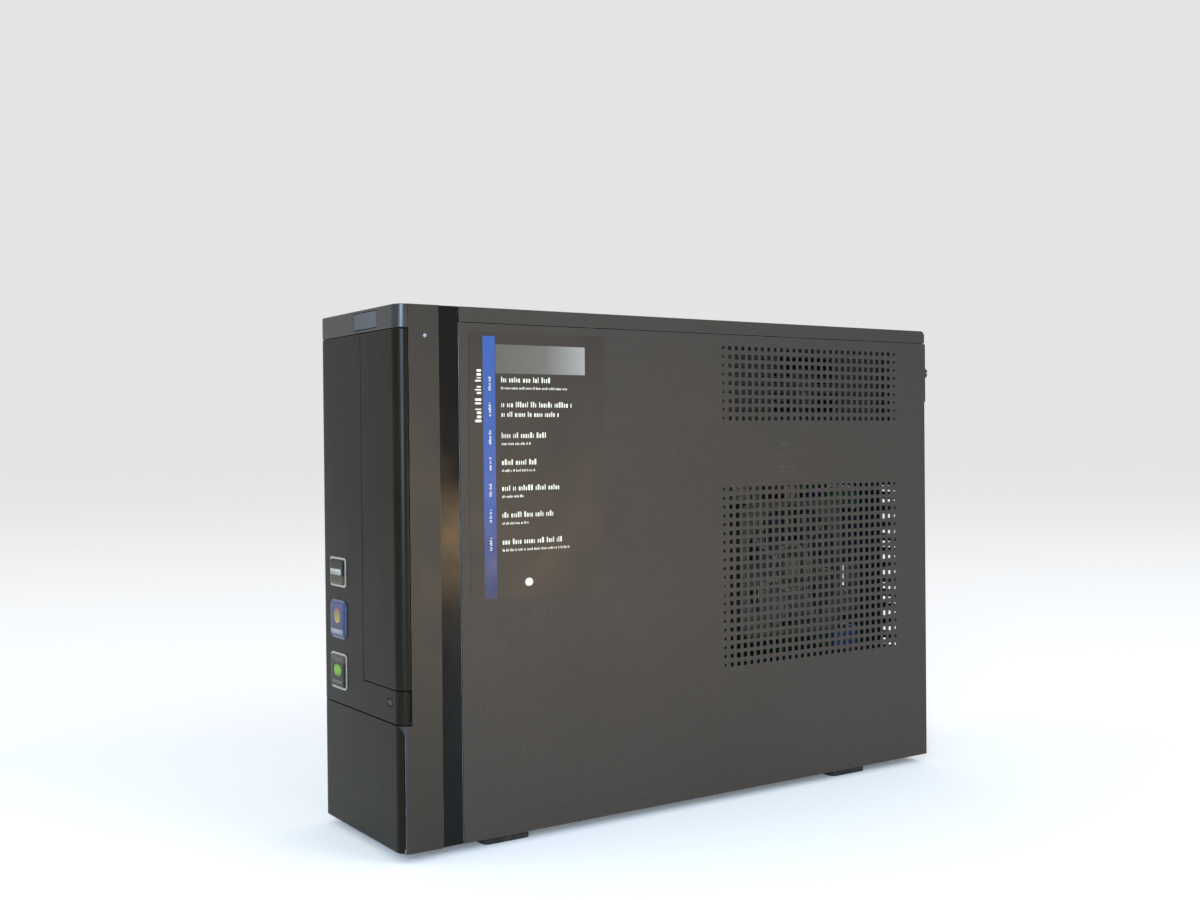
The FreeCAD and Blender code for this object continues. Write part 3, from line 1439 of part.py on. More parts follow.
def make_video_port():
    name = "video_port"
    base = "connector_face - past"
    shell = box((f"{BOARD} + video_shell_lift", f"{BOARD} + video_shell_lift + video_shell_height"),
                (base, "connector_face + video_shell_depth"), about(f"{name}_z", "video_shell_width"))
    middle = f"({BOARD} + video_shell_lift + video_shell_height / 2)"
    posts = [rod("Y", (middle, f"{name}_z {side} video_post_offset"),
                 (base, "connector_face + video_shell_depth + steel"), "video_post_radius") for side in "-+"]
    pins = []
    for line in (-1, 0, 1):
        for column in (-2, -1, 0, 1, 2):
            centre = (f"{middle} + {line} * video_pin_row", f"{name}_z + {column} * video_pin_pitch")
            pins.append(rod("Y", centre, ("connector_face", "connector_face + video_shell_depth + past"),
                            "video_pin_radius"))
    node(name, cut(fuse(connector_block(name), shell, *posts), group(*pins)))


def make_rear_usb_ports():
    name = "rear_usb_ports"
    span = ("connector_face", "connector_front")
    stack = [usb_socket(f"({BOARD} + rear_usb_lift + {number} * rear_usb_pitch)", f"{name}_z", span,
                        turned=True)
             for number in range(2)]
    bridge = on_board(("connector_front", "connector_face - usb_depth - past"),
                      about(f"{name}_z", f"{name}_width"), f"{name}_height")
    node(name, fuse(*stack, bridge))


def make_lan_port():
    jack = box((f"{BOARD} + lan_jack_lift", f"{BOARD} + lan_jack_lift + lan_jack_height"),
               ("connector_face - lan_jack_depth", "connector_face + past"),
               about("lan_port_z", "lan_jack_width"))
    node("lan_port", cut(connector_block("lan_port"), jack))


def make_rear_audio_jacks():
    name = "rear_audio_jacks"
    barrels = []
    bores = []
    for number in range(3):
        centre = (f"{BOARD} + audio_jack_lift + {number} * audio_jack_pitch", f"{name}_z")
        face = "connector_face + audio_jack_raise"
        barrels.append(rod("Y", centre, ("connector_face - past", face), "audio_jack_radius"))
        bores.append(rod("Y", centre, ("connector_face - jack_depth", f"{face} + past"), "jack_bore"))
    node(name, cut(fuse(connector_block(name), *barrels), group(*bores)))


def make_io_shield():
    plate = box(("shield_left", "shield_right"), (f"{REAR_INSIDE} - steel", REAR_INSIDE),
                ("shield_bottom", "shield_top"))
    holes = []
    for name in REAR_CONNECTORS:
        holes.append(box((f"{BOARD} - connector_gap", f"{BOARD} + {name}_height + connector_gap"),
                         (f"{REAR_INSIDE} - steel - past", f"{REAR_INSIDE} + past"),
                         about(f"{name}_z", f"({name}_width + 2 * connector_gap)")))
    node("io_shield", cut(plate, group(*holes)))


def make_slot_covers():
    covers = []
    for number in range(2):
        across = about(slot_centre(number), "slot_cover_width")
        blade = box(("slot_cover_left", "slot_cover_right"), (f"{REAR_INSIDE} - steel", REAR_INSIDE), across)
        tab = box(("slot_cover_right", "slot_cover_right + steel"),
                  (f"{REAR_INSIDE} - slot_tab_length", REAR_INSIDE),
                  across)
        covers.append(fuse(blade, tab))
    node("slot_covers", group(*covers))


# ---------------------------------------------------------------- power supply

def psu_fan_slots():
    """Horizontal slots that fill a circle in the housing's side wall."""
    slots = []
    middle = "((psu_bottom + psu_top) / 2)"
    each_side = 6
    for number in range(-each_side, each_side + 1):
        rise = size("psu_slot_rise") * number
        chord = 2 * math.sqrt(size("psu_fan_tip") ** 2 - rise ** 2)
        slots.append(box(("psu_right - steel - past", "psu_right + past"), about("psu_fan_y", chord),
                         about(f"({middle} + {rise})", "psu_slot_height")))
    return slots


def psu_rear_slots():
    slots = []
    for number in range(9):
        low = f"psu_rear_slot_bottom + {number} * psu_rear_slot_rise"
        slots.append(box(("psu_rear_slot_left", "psu_rear_slot_right"),
                         (f"{REAR_INSIDE} - steel - past", f"{REAR_INSIDE} + past"),
                         (low, f"{low} + psu_rear_slot_height")))
    return slots


def psu_front_slots():
    """Two low slots that the leads leave by, and three tall ones for air."""
    across = ("psu_front - past", "psu_front + steel + past")
    slots = []
    for kind, count in (("low", 2), ("tall", 3)):
        for number in range(count):
            left = f"psu_{kind}_slot_left + {number} * psu_front_slot_pitch"
            slots.append(box((left, f"{left} + psu_front_slot_width"), across,
                             (f"psu_{kind}_slot_bottom", f"psu_{kind}_slot_bottom + psu_{kind}_slot_length")))
    return slots


def make_power_supply():
    outer = box(("psu_left", "psu_right"), ("psu_front", REAR_INSIDE), ("psu_bottom", "psu_top"))
    inner = box(("psu_left + steel", "psu_right - steel"), ("psu_front + steel", f"{REAR_INSIDE} - steel"),
                ("psu_bottom + steel", "psu_top - steel"))
    through = (f"{REAR_INSIDE} - steel - past", f"{REAR_INSIDE} + past")
    inlet_hole = box(about("inlet_x", "inlet_width"), through, about("inlet_z", "inlet_height"))
    selector_end = "selector_left + selector_width + selector_travel"
    selector_hole = box(("selector_left - selector_gap", f"{selector_end} + selector_gap"), through,
                        about("selector_z", "(selector_width + 2 * selector_gap)"))
    tools = group(*psu_fan_slots(), *psu_rear_slots(), *psu_front_slots(), inlet_hole, selector_hole)
    node("psu_housing", cut(outer, inner, tools, group(*screw_holes("Y"))))

    frame_x = "(psu_right - steel - fan_depth)"
    centre = (frame_x, "psu_fan_y", "((psu_bottom + psu_top) / 2)")
    node("psu_fan_frame", fan_frame(*centre, "psu_fan_side", "psu_fan_bore", "psu_fan_hub"))
    node("psu_fan_rotor", fan_rotor(*centre, "psu_fan_tip", "psu_fan_hub"))


def make_power_inlet():
    flange = slab("inlet_width + 2 * inlet_flange", "inlet_height + 2 * inlet_flange",
                  "inlet_flange_thickness",
                  "inlet_corner", ("inlet_x - inlet_width / 2 - inlet_flange", REAR_INSIDE,
                                   "inlet_z + inlet_height / 2 + inlet_flange"), "Y")
    back = f"{REAR_INSIDE} - inlet_depth"
    body = box(about("inlet_x", "inlet_width"), (back, REAR_INSIDE), about("inlet_z", "inlet_height"))
    recess = box(about("inlet_x", "(inlet_width - 2 * inlet_wall)"),
                 (f"{back} + inlet_wall", f"{REAR_INSIDE} + inlet_flange_thickness + past"),
                 about("inlet_z", "(inlet_height - 2 * inlet_wall)"))
    blades = []
    for x, z in (("(inlet_x - inlet_blade_offset)", "inlet_z"), ("(inlet_x + inlet_blade_offset)", "inlet_z"),
                 ("inlet_x", "(inlet_z + inlet_earth_offset)")):
        blades.append(box(about(x, "inlet_blade_thickness"),
                          (f"{back} + inlet_wall / 2", f"{REAR_INSIDE} - past"),
                          about(z, "inlet_blade_width")))
    node("ac_inlet", fuse(cut(fuse(flange, body), recess), *blades))

    inside = f"({REAR_INSIDE} - steel)"
    slider = box(("selector_left", "selector_left + selector_width"),
                 (f"{inside} - selector_behind", f"{REAR_INSIDE} + selector_raise"),
                 about("selector_z", "selector_width"))
    runner = box(("selector_left - selector_overlap", "selector_left + selector_width + selector_overlap"),
                 (f"{inside} - selector_behind - selector_runner", f"{inside} - selector_behind"),
                 about("selector_z", "selector_runner_width"))
    node("voltage_selector", fuse(slider, runner))


# ---------------------------------------------------------------- leads

def make_leads():
    psu_face = size("psu_front")
    power_socket_top = size(f"{BOARD} + power_socket_height")
    data_socket_top = size(f"{BOARD} + data_socket_height")
    header_top = size(f"{BOARD} + header_height")
    optical_back = size("optical_rear")
    hdd_back = size("hdd_rear")
    node("main_power_harness", lead("harness_radius", [
        (-20, psu_face, 222), (-20, -20, 222), (-20, -20, 187), (-14, 30, 184),
        (-8, 80, 184), (-6, 112, 168), (power_socket_top, 112, 168)]))

    optical_power = lead("power_lead_radius", [
        (-8, psu_face, 212), (-8, -20, 212), (-4, -20, 186), (2, 12, 176),
        (16, 26, 160), (34, 24, 150), (34, optical_back, 150)])
    hard_drive_power = lead("power_lead_radius", [
        (40, optical_back, 136), (40, 20, 136), (38, 22, 100), (24, 22, 70), (24, hdd_back, 70)])
    hard_drive_data = lead("data_lead_radius", [
        (20, hdd_back, 29), (20, 23.5, 29), (data_socket_top, 23.5, 29)])
    optical_data = lead("data_lead_radius", [
        (12, optical_back, 130), (12, 24, 130), (8, 26, 80), (-6, 23.5, 47), (data_socket_top, 23.5, 47)])
    board_back = size("port_board_front + board_thickness")
    front_panel = lead("data_lead_radius", [
        (-25, board_back, 40), (-25, -125, 40), (-22, -85, 60), (-14, -45, 88),
        (-14, -20, 100), (header_top, -20, 100)])
    node("internal_leads", group(optical_power, hard_drive_power, hard_drive_data, optical_data, front_panel))


# ---------------------------------------------------------------- build and write

def build():
    make_chassis_shell()
    make_rear_panel()
    make_front_frame()
    make_side_cover()
    make_front_bezel()
    make_glossy_skin()
    make_buttons()
    make_port_door()
    make_badges()
    make_front_connectors()
    make_feet()
    make_drive_cage()
    make_optical_drive()
    make_drive_tray()
    make_hard_drive()
    make_motherboard()
    make_screws()
    make_processor()
    make_cooler_fan()
    make_memory()
    make_board_parts()
    make_keyboard_mouse_ports()
    make_video_port()
    make_rear_usb_ports()
    make_lan_port()
    make_rear_audio_jacks()
    make_io_shield()
    make_slot_covers()
    make_power_supply()
    make_power_inlet()
    make_leads()
    doc.recompute()


def check_and_write():
    for item in doc.Objects:
        if "Invalid" in item.State or "Error" in item.State:
            raise RuntimeError(f"{item.Name} ({item.Label}) failed: {item.State}")
    os.makedirs("parts", exist_ok=True)
    for name, feature in NODES.items():
        shape = feature.Shape
        if shape.isNull() or not shape.isValid() or not shape.Solids:
            raise RuntimeError(f"{name} has no valid solid")
        shape.exportStep(f"parts/{name}.step")
    print(len(NODES), "sub-parts written")


build()
check_and_write()
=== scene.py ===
import json
import math
import random

import bmesh
import bpy
from mathutils import Matrix, Vector


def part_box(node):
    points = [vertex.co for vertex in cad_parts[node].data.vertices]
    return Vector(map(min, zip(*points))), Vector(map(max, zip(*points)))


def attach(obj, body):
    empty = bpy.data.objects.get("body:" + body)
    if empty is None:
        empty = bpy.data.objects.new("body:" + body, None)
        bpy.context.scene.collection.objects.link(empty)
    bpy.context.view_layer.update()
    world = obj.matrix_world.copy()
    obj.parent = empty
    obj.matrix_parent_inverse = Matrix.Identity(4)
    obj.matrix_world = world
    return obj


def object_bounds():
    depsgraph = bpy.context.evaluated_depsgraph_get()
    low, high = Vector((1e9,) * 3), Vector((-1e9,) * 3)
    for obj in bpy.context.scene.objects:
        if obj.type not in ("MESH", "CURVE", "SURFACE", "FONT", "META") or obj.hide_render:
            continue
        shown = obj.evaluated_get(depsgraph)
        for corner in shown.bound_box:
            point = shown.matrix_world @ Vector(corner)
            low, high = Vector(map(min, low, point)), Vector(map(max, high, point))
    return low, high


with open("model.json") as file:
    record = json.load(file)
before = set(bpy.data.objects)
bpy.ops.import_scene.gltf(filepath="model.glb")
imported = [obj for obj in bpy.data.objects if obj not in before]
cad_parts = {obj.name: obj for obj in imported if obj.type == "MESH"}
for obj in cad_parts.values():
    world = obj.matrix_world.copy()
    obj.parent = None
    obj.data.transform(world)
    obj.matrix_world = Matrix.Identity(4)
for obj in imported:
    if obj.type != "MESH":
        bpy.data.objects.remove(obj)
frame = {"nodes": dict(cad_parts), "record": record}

CAD_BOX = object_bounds()
NODES = frame["nodes"]
MM = 0.001
WELD_DISTANCE = 0.004 * MM


# ---------------------------------------------------------------- colours and shader nodes

def tone(red, green, blue):
    """A colour given as 0-255 screen values, as the linear values that a shader wants."""
    out = []
    for value in (red, green, blue):
        share = value / 255
        out.append(share / 12.92 if share <= 0.04045 else ((share + 0.055) / 1.055) ** 2.4)
    return tuple(out)


class Finish:
    """One material: a principled shader and the texture nodes that give it its detail."""

    def __init__(self, name, colour, roughness, metallic=0.0, specular=0.5):
        self.material = bpy.data.materials.new(name)
        self.material.use_nodes = True
        self.tree = self.material.node_tree
        self.shader = self.tree.nodes["Principled BSDF"]
        self.put("Base Color", (*colour, 1.0))
        self.put("Roughness", roughness)
        self.put("Metallic", metallic)
        self.put("Specular IOR Level", specular)
        self.material.diffuse_color = (*colour, 1.0)
        self.coordinates = self.tree.nodes.new("ShaderNodeTexCoord")

    def put(self, socket, value):
        self.shader.inputs[socket].default_value = value

    def join(self, source, target):
        self.tree.links.new(source, target)

    def place(self, stretch=(1, 1, 1)):
        """The object's own coordinates in metres, scaled along each axis."""
        mapping = self.tree.nodes.new("ShaderNodeMapping")
        mapping.inputs["Scale"].default_value = stretch
        self.join(self.coordinates.outputs["Object"], mapping.inputs["Vector"])
        return mapping.outputs["Vector"]

    def noise(self, scale, detail=3.0, roughness=0.55, stretch=(1, 1, 1)):
        """Cloudy noise with about scale features per metre."""
        texture = self.tree.nodes.new("ShaderNodeTexNoise")
        texture.inputs["Scale"].default_value = scale
        texture.inputs["Detail"].default_value = detail
        texture.inputs["Roughness"].default_value = roughness
        self.join(self.place(stretch), texture.inputs["Vector"])
        return texture.outputs["Fac"]

    def cells(self, scale, stretch=(1, 1, 1), feature="F1"):
        """A node that divides space into random cells, about scale of them per metre."""
        texture = self.tree.nodes.new("ShaderNodeTexVoronoi")
        texture.feature = feature
        texture.inputs["Scale"].default_value = scale
        self.join(self.place(stretch), texture.inputs["Vector"])
        return texture

    def random_shade(self, scale):
        """A random value from 0 to 1 for each cell."""
        split = self.tree.nodes.new("ShaderNodeSeparateColor")
        self.join(self.cells(scale).outputs["Color"], split.inputs["Color"])
        return split.outputs["Red"]

    def along(self, axis):
        """The position along one axis of the object, in metres."""
        split = self.tree.nodes.new("ShaderNodeSeparateXYZ")
        self.join(self.coordinates.outputs["Object"], split.inputs["Vector"])
        return split.outputs[axis]

    def spread(self, value, low, high, start=0.3, end=0.7):
        """A value that runs from low to high while the given one runs from start to end."""
        node = self.tree.nodes.new("ShaderNodeMapRange")
        node.inputs["From Min"].default_value = start
        node.inputs["From Max"].default_value = end
        node.inputs["To Min"].default_value = low
        node.inputs["To Max"].default_value = high
        self.join(value, node.inputs["Value"])
        return node.outputs["Result"]

    def maths(self, operation, first, second):
        """A sum, product or the like of two values, each a number or a socket."""
        node = self.tree.nodes.new("ShaderNodeMath")
        node.operation = operation
        for socket, value in zip(node.inputs, (first, second)):
            if isinstance(value, (int, float)):
                socket.default_value = value
            else:
                self.join(value, socket)
        return node.outputs["Value"]

    def mix(self, share, first, second):
        """A colour between first and second, each a colour or a socket."""
        node = self.tree.nodes.new("ShaderNodeMix")
        node.data_type = "RGBA"
        self.join(share, node.inputs[0])
        # The node's number, vector and colour sockets share their names, so the colour ones go by number.
        colour_sockets, colour_result = node.inputs[6:8], node.outputs[2]
        for socket, value in zip(colour_sockets, (first, second)):
            if isinstance(value, tuple):
                socket.default_value = (*value, 1.0)
            else:
                self.join(value, socket)
        return colour_result

    def ramp(self, value, stops, constant=False):
        """The colour at a value from 0 to 1, given (position, colour) stops; constant makes hard steps."""
        node = self.tree.nodes.new("ShaderNodeValToRGB")
        node.color_ramp.interpolation = "CONSTANT" if constant else "LINEAR"
        marks = node.color_ramp.elements
        while len(marks) < len(stops):
            marks.new(0.5)
        for mark, (position, colour) in zip(marks, stops):
            mark.position = position
            mark.color = (*colour, 1.0)
        self.join(value, node.inputs["Fac"])
        return node.outputs["Color"]

    def bump(self, height, distance, strength=1.0, after=None):
        """A surface direction tilted by a height of up to distance metres, on top of another bump."""
        node = self.tree.nodes.new("ShaderNodeBump")
        node.inputs["Strength"].default_value = strength
        node.inputs["Distance"].default_value = distance
        self.join(height, node.inputs["Height"])
        if after is not None:
            self.join(after, node.inputs["Normal"])
        return node.outputs["Normal"]

    def edges(self, radius):
        """0 on flat faces, rising to 1 along edges, within a radius in metres."""
        bevel = self.tree.nodes.new("ShaderNodeBevel")
        bevel.samples = 4
        bevel.inputs["Radius"].default_value = radius
        geometry = self.tree.nodes.new("ShaderNodeNewGeometry")
        dot = self.tree.nodes.new("ShaderNodeVectorMath")
        dot.operation = "DOT_PRODUCT"
        self.join(bevel.outputs["Normal"], dot.inputs[0])
        self.join(geometry.outputs["Normal"], dot.inputs[1])
        return self.spread(dot.outputs["Value"], 1.0, 0.0, 0.82, 0.995)

    def worn_edges(self, radius, patches):
        """How worn the edges are, from 0 to 1, where a value makes the wear patchy."""
        return self.maths("MULTIPLY", self.edges(radius), patches)

    def smears(self):
        """Wiped smears, longer up the object than along it."""
        return self.spread(self.noise(24, 5, 0.6, (1, 1, 0.35)), 0, 0.5, 0.45, 0.75)

    def flow_marks(self):
        """Faint upright clouds, as plastic leaves where it flowed into its mould."""
        return self.spread(self.noise(13, 3, 0.5, (1, 1, 0.4)), 0, 0.7)

    def colour(self, socket):
        self.join(socket, self.shader.inputs["Base Color"])

    def rough(self, socket):
        self.join(socket, self.shader.inputs["Roughness"])

    def normal(self, socket):
        self.join(socket, self.shader.inputs["Normal"])


# ---------------------------------------------------------------- finishes
# Noise scales are features per metre, and distances are metres.

def painted_steel(name, base, light, dark):
    """Satin powder coat: a fine pebbled skin, faint cloudiness, and paint rubbed thin along edges."""
    finish = Finish(name, base, 0.46, specular=0.34)
    cloud = finish.mix(finish.spread(finish.noise(9, 4), 0, 1), dark, base)
    speck = finish.mix(finish.spread(finish.noise(2600, 1), 0, 0.55, 0.55, 0.75), cloud, light)
    worn = finish.worn_edges(0.0007, finish.spread(finish.noise(160, 5), 0, 0.75, 0.4, 0.62))
    finish.colour(finish.mix(worn, speck, light))
    sheen = finish.spread(finish.noise(14, 5), 0.40, 0.50)
    finish.rough(finish.maths("ADD", sheen, finish.spread(finish.noise(900, 1), -0.03, 0.05)))
    pebble = finish.bump(finish.noise(1500, 2, 0.6), 0.00006, 0.55)
    finish.normal(finish.bump(finish.noise(22, 2), 0.0006, 0.06, pebble))
    return finish.material


def gloss_plastic(name, base, haze):
    """Gloss moulded plastic with wiped smears, hairline scratches and dust."""
    finish = Finish(name, base, 0.12, specular=0.1)
    # The warm specular tint, with the brownish base and haze given in FINISHES, is partly painted warm
    # reflection: a slight warm cast that stands in for warm light reflected off the surround.
    finish.put("Specular Tint", (1.0, 0.97, 0.9, 1.0))
    dust = finish.spread(finish.noise(1900, 2, 0.7), 0, 0.5, 0.66, 0.8)
    finish.colour(finish.mix(finish.maths("MAXIMUM", dust, finish.smears()), base, haze))
    hair = finish.spread(finish.noise(700, 2, 0.5, (1, 1, 0.02)), 0, 0.10, 0.6, 0.72)
    wiped = finish.spread(finish.noise(16, 6, 0.6, (1, 1, 0.5)), 0.2, 0.32, 0.4, 0.7)
    finish.rough(finish.maths("ADD", wiped, hair))
    finish.normal(finish.bump(finish.noise(30, 2, 0.4), 0.0008, 0.035))
    return finish.material


def moulded_plastic(name, base, light, rough=(0.38, 0.5)):
    """Satin moulded plastic: spark-eroded grain, slight flow marks and polished edges."""
    finish = Finish(name, base, 0.45, specular=0.4)
    flow = finish.mix(finish.flow_marks(), base, light)
    rubbed = finish.worn_edges(0.0006, finish.spread(finish.noise(120, 4), 0, 0.6, 0.42, 0.65))
    polished = tuple(min(1.0, channel * 2.2 + 0.01) for channel in light)
    finish.colour(finish.mix(rubbed, flow, polished))
    finish.rough(finish.spread(finish.noise(45, 5), rough[0], rough[1]))
    finish.normal(finish.bump(finish.noise(1900, 2, 0.6), 0.00005, 0.5))
    return finish.material


def sheet_metal(name, base, dark):
    """Zinc-plated or rolled sheet: soft spangle, rolling lines and fingerprints."""
    finish = Finish(name, base, 0.35, metallic=1.0)
    spangle = finish.spread(finish.random_shade(260), 0, 0.45, 0, 1)
    patch = finish.maths("ADD", spangle, finish.spread(finish.noise(30, 4), 0, 0.5))
    finish.colour(finish.mix(patch, base, dark))
    rolled = finish.noise(90, 3, 0.6, (1, 1, 14))
    fingerprints = finish.spread(finish.noise(40, 5), -0.02, 0.06)
    finish.rough(finish.maths("ADD", finish.spread(rolled, 0.28, 0.42), fingerprints))
    finish.normal(finish.bump(rolled, 0.0001, 0.12))
    return finish.material


def cast_metal(name, base, dark, rough=(0.3, 0.5)):
    """Bare machined or extruded metal with tool lines and a dull film."""
    finish = Finish(name, base, 0.35, metallic=1.0)
    finish.colour(finish.mix(finish.spread(finish.noise(70, 5), 0, 1, 0.35, 0.7), base, dark))
    tooled = finish.noise(420, 2, 0.5, (1, 0.08, 1))
    finish.rough(finish.spread(tooled, rough[0], rough[1]))
    finish.normal(finish.bump(tooled, 0.00006, 0.3))
    return finish.material


def circuit_board(name):
    """Green solder mask over copper tracks, with plated via holes."""
    finish = Finish(name, tone(22, 70, 44), 0.3, specular=0.5)
    tracks = finish.cells(170, (1, 1, 0.22), "DISTANCE_TO_EDGE").outputs["Distance"]
    crossing = finish.cells(140, (1, 0.25, 1), "DISTANCE_TO_EDGE").outputs["Distance"]
    line = finish.maths("MAXIMUM", finish.spread(tracks, 1, 0, 0.015, 0.035),
                        finish.spread(crossing, 1, 0, 0.012, 0.03))
    mask = finish.mix(line, tone(16, 62, 38), tone(40, 104, 62))
    via = finish.spread(finish.cells(330).outputs["Distance"], 1, 0, 0.10, 0.13)
    finish.colour(finish.mix(via, mask, tone(176, 150, 88)))
    finish.rough(finish.spread(finish.noise(60, 3), 0.26, 0.4))
    finish.normal(finish.bump(finish.maths("ADD", line, via), 0.00006, 0.5))
    return finish.material


def soft_rubber(name):
    """Dull black rubber with a dusty, slightly uneven skin."""
    finish = Finish(name, tone(26, 26, 27), 0.8, specular=0.3)
    finish.colour(finish.mix(finish.spread(finish.noise(120, 5), 0, 1), tone(20, 20, 21), tone(44, 43, 41)))
    finish.rough(finish.spread(finish.noise(300, 3), 0.7, 0.9))
    finish.normal(finish.bump(finish.noise(1200, 3), 0.00008, 0.5))
    return finish.material


def light_pipe(name):
    """A frosted clear pipe, lit faintly from behind."""
    finish = Finish(name, tone(170, 174, 182), 0.35, specular=0.5)
    finish.put("Emission Color", (0.85, 0.93, 1.0, 1.0))
    finish.put("Emission Strength", 0.02)
    finish.colour(finish.mix(finish.spread(finish.noise(900, 2), 0, 1), tone(112, 114, 124),
                             tone(140, 143, 152)))
    finish.rough(finish.spread(finish.noise(700, 2), 0.25, 0.42))
    return finish.material


def wire_sleeve(name):
    """Bundled leads in black, red and yellow insulation, seen as stripes round the bundle."""
    finish = Finish(name, tone(30, 30, 31), 0.5, specular=0.4)
    lanes = finish.noise(420, 1, 0.4, (1, 1, 0.12))
    stops = [(0.0, tone(24, 24, 25)), (0.52, tone(150, 34, 26)), (0.58, tone(30, 30, 31)),
             (0.66, tone(190, 150, 34)), (0.7, tone(26, 26, 27))]
    finish.colour(finish.ramp(lanes, stops, constant=True))
    finish.rough(finish.spread(finish.noise(200, 3), 0.38, 0.6))
    finish.normal(finish.bump(lanes, 0.0005, 0.6))
    return finish.material


def banded_plastic(name, axis, bands):
    """A moulded plastic whose colour changes along an axis, given as (where each starts, colour).

    The last row only says where the bands end."""
    rough = 0.4
    finish = Finish(name, bands[0][1], rough, specular=0.45)
    low, high = bands[0][0], bands[-1][0]
    share = finish.spread(finish.along(axis), 0, 1, low, high)
    stops = [((edge - low) / (high - low), colour) for edge, colour in bands[:-1]]
    base = finish.ramp(share, stops, constant=True)
    finish.colour(finish.mix(finish.spread(finish.noise(240, 3), 0, 0.25), base, tone(60, 60, 60)))
    finish.rough(finish.spread(finish.noise(90, 3), rough - 0.06, rough + 0.08))
    finish.normal(finish.bump(finish.noise(1500, 2), 0.00004, 0.5))
    return finish.material


def bezel_plastic():
    """Satin wing, with a polished strip behind it where the bezel steps in."""
    wing_end, strip_start = -161.7 * MM, -161.3 * MM
    finish = Finish("satin_bezel", tone(46, 45, 43), 0.42, specular=0.3)
    strip = finish.spread(finish.along("Y"), 0, 1, wing_end, strip_start)
    flow = finish.mix(finish.flow_marks(), tone(27, 26, 23), tone(33, 32, 29))
    rubbed = finish.worn_edges(0.0006, finish.spread(finish.noise(120, 4), 0, 0.5, 0.42, 0.65))
    satin = finish.mix(rubbed, flow, tone(98, 98, 98))
    polished = finish.mix(finish.smears(), tone(12, 11, 10), tone(28, 26, 24))
    finish.colour(finish.mix(strip, satin, polished))
    finish.join(finish.spread(strip, 0.3, 0.14, 0, 1), finish.shader.inputs["Specular IOR Level"])
    satin_rough = finish.spread(finish.noise(45, 5), 0.34, 0.46)
    finish.rough(finish.maths("SUBTRACT", satin_rough, finish.maths("MULTIPLY", strip, 0.27)))
    finish.normal(finish.bump(finish.noise(1900, 2, 0.6), 0.00004, 0.4))
    return finish.material


def black_oxide():
    """Blackened screw steel with bright wear on its knurled edges."""
    finish = Finish("black_oxide", tone(40, 40, 42), 0.4, metallic=0.7)
    worn = finish.worn_edges(0.0005, finish.spread(finish.noise(400, 4), 0.1, 0.8))
    finish.colour(finish.mix(worn, tone(36, 36, 38), tone(150, 150, 150)))
    finish.rough(finish.spread(finish.noise(200, 4), 0.32, 0.5))
    finish.normal(finish.bump(finish.noise(1200, 2), 0.00003, 0.4))
    return finish.material


def badge_rim():
    """Printed foil that shows as a thin rim round each badge: silver, but lilac on the middle one."""
    finish = Finish("badge_foil", tone(160, 156, 146), 0.3, metallic=0.2)
    low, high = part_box("front_badges")
    share = finish.spread(finish.along("Z"), 0, 1, low.z, high.z)
    silver, lilac = tone(158, 154, 144), tone(74, 80, 116)
    rim = finish.ramp(share, [(0.0, silver), (0.33, lilac), (0.72, silver)], constant=True)
    finish.colour(finish.mix(finish.spread(finish.noise(300, 4), 0, 0.3), rim, tone(120, 118, 112)))
    finish.rough(finish.spread(finish.noise(500, 3), 0.16, 0.34))
    return finish.material


def label_film():
    """Dark satin film, nearly the colour of the paint that it is stuck to."""
    finish = Finish("dark_film", tone(40, 38, 37), 0.4, specular=0.34)
    finish.colour(finish.mix(finish.spread(finish.noise(18, 4), 0, 1), tone(25, 24, 23), tone(31, 30, 28)))
    finish.rough(finish.spread(finish.noise(30, 5), 0.34, 0.46))
    finish.normal(finish.bump(finish.noise(60, 3), 0.00008, 0.25))
    return finish.material


def printed(name, colour_of, rough=0.45):
    """Ink or paper, rubbed grey in places; colour_of gives its colour's socket."""
    finish = Finish(name, tone(200, 200, 196), rough, specular=0.4)
    rubbed = finish.spread(finish.noise(420, 5), 0, 0.2, 0.6, 0.8)
    finish.colour(finish.mix(rubbed, colour_of(finish), tone(70, 69, 66)))
    finish.rough(finish.spread(finish.noise(90, 3), rough - 0.08, rough + 0.08))
    return finish.material


def white_print():
    def colour(finish):
        return finish.mix(finish.noise(200, 2), tone(176, 170, 152), tone(206, 202, 188))
    return printed("white_ink", colour)


def blue_print(bottom, top):
    """Bright blue that fades into the film towards its foot."""
    def colour(finish):
        share = finish.spread(finish.along("Z"), 0, 1, bottom, top)
        return finish.ramp(share, [(0.0, tone(22, 34, 66)), (0.16, tone(14, 42, 86)),
                                   (0.4, tone(12, 58, 118)), (1.0, tone(13, 62, 124))])
    return printed("blue_ink", colour, 0.38)


def grey_print(front, rear):
    """Grey that grows paler towards the rear."""
    def colour(finish):
        share = finish.spread(finish.along("Y"), 0, 1, front, rear)
        return finish.ramp(share, [(0.0, tone(66, 65, 60)), (0.45, tone(80, 78, 74)),
                                   (0.85, tone(128, 127, 123))])
    return printed("grey_ink", colour, 0.4)


def memory_module():
    """Green boards between black chips, in each of two modules side by side along Y."""
    low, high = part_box("memory_modules")
    chip, board, outside = 1.1 * MM, 1.4 * MM, 1 * MM
    black, green = tone(26, 26, 28), tone(24, 84, 52)
    first, last = low.y + chip, high.y - chip
    return banded_plastic("memory_module", "Y", [
        (low.y - outside, black), (first, green), (first + board, black),
        (last - board, green), (last, black), (high.y + outside, black)])


def port_colours(node, *colours):
    """A connector block in equal bands of colour from -X to +X."""
    low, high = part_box(node)
    outside = 1 * MM
    starts = [low.x + (high.x - low.x) * number / len(colours) for number in range(len(colours))]
    starts[0] -= outside
    bands = list(zip(starts, colours))
    return banded_plastic(f"{node}_colours", "X", bands + [(high.x + outside, colours[-1])])


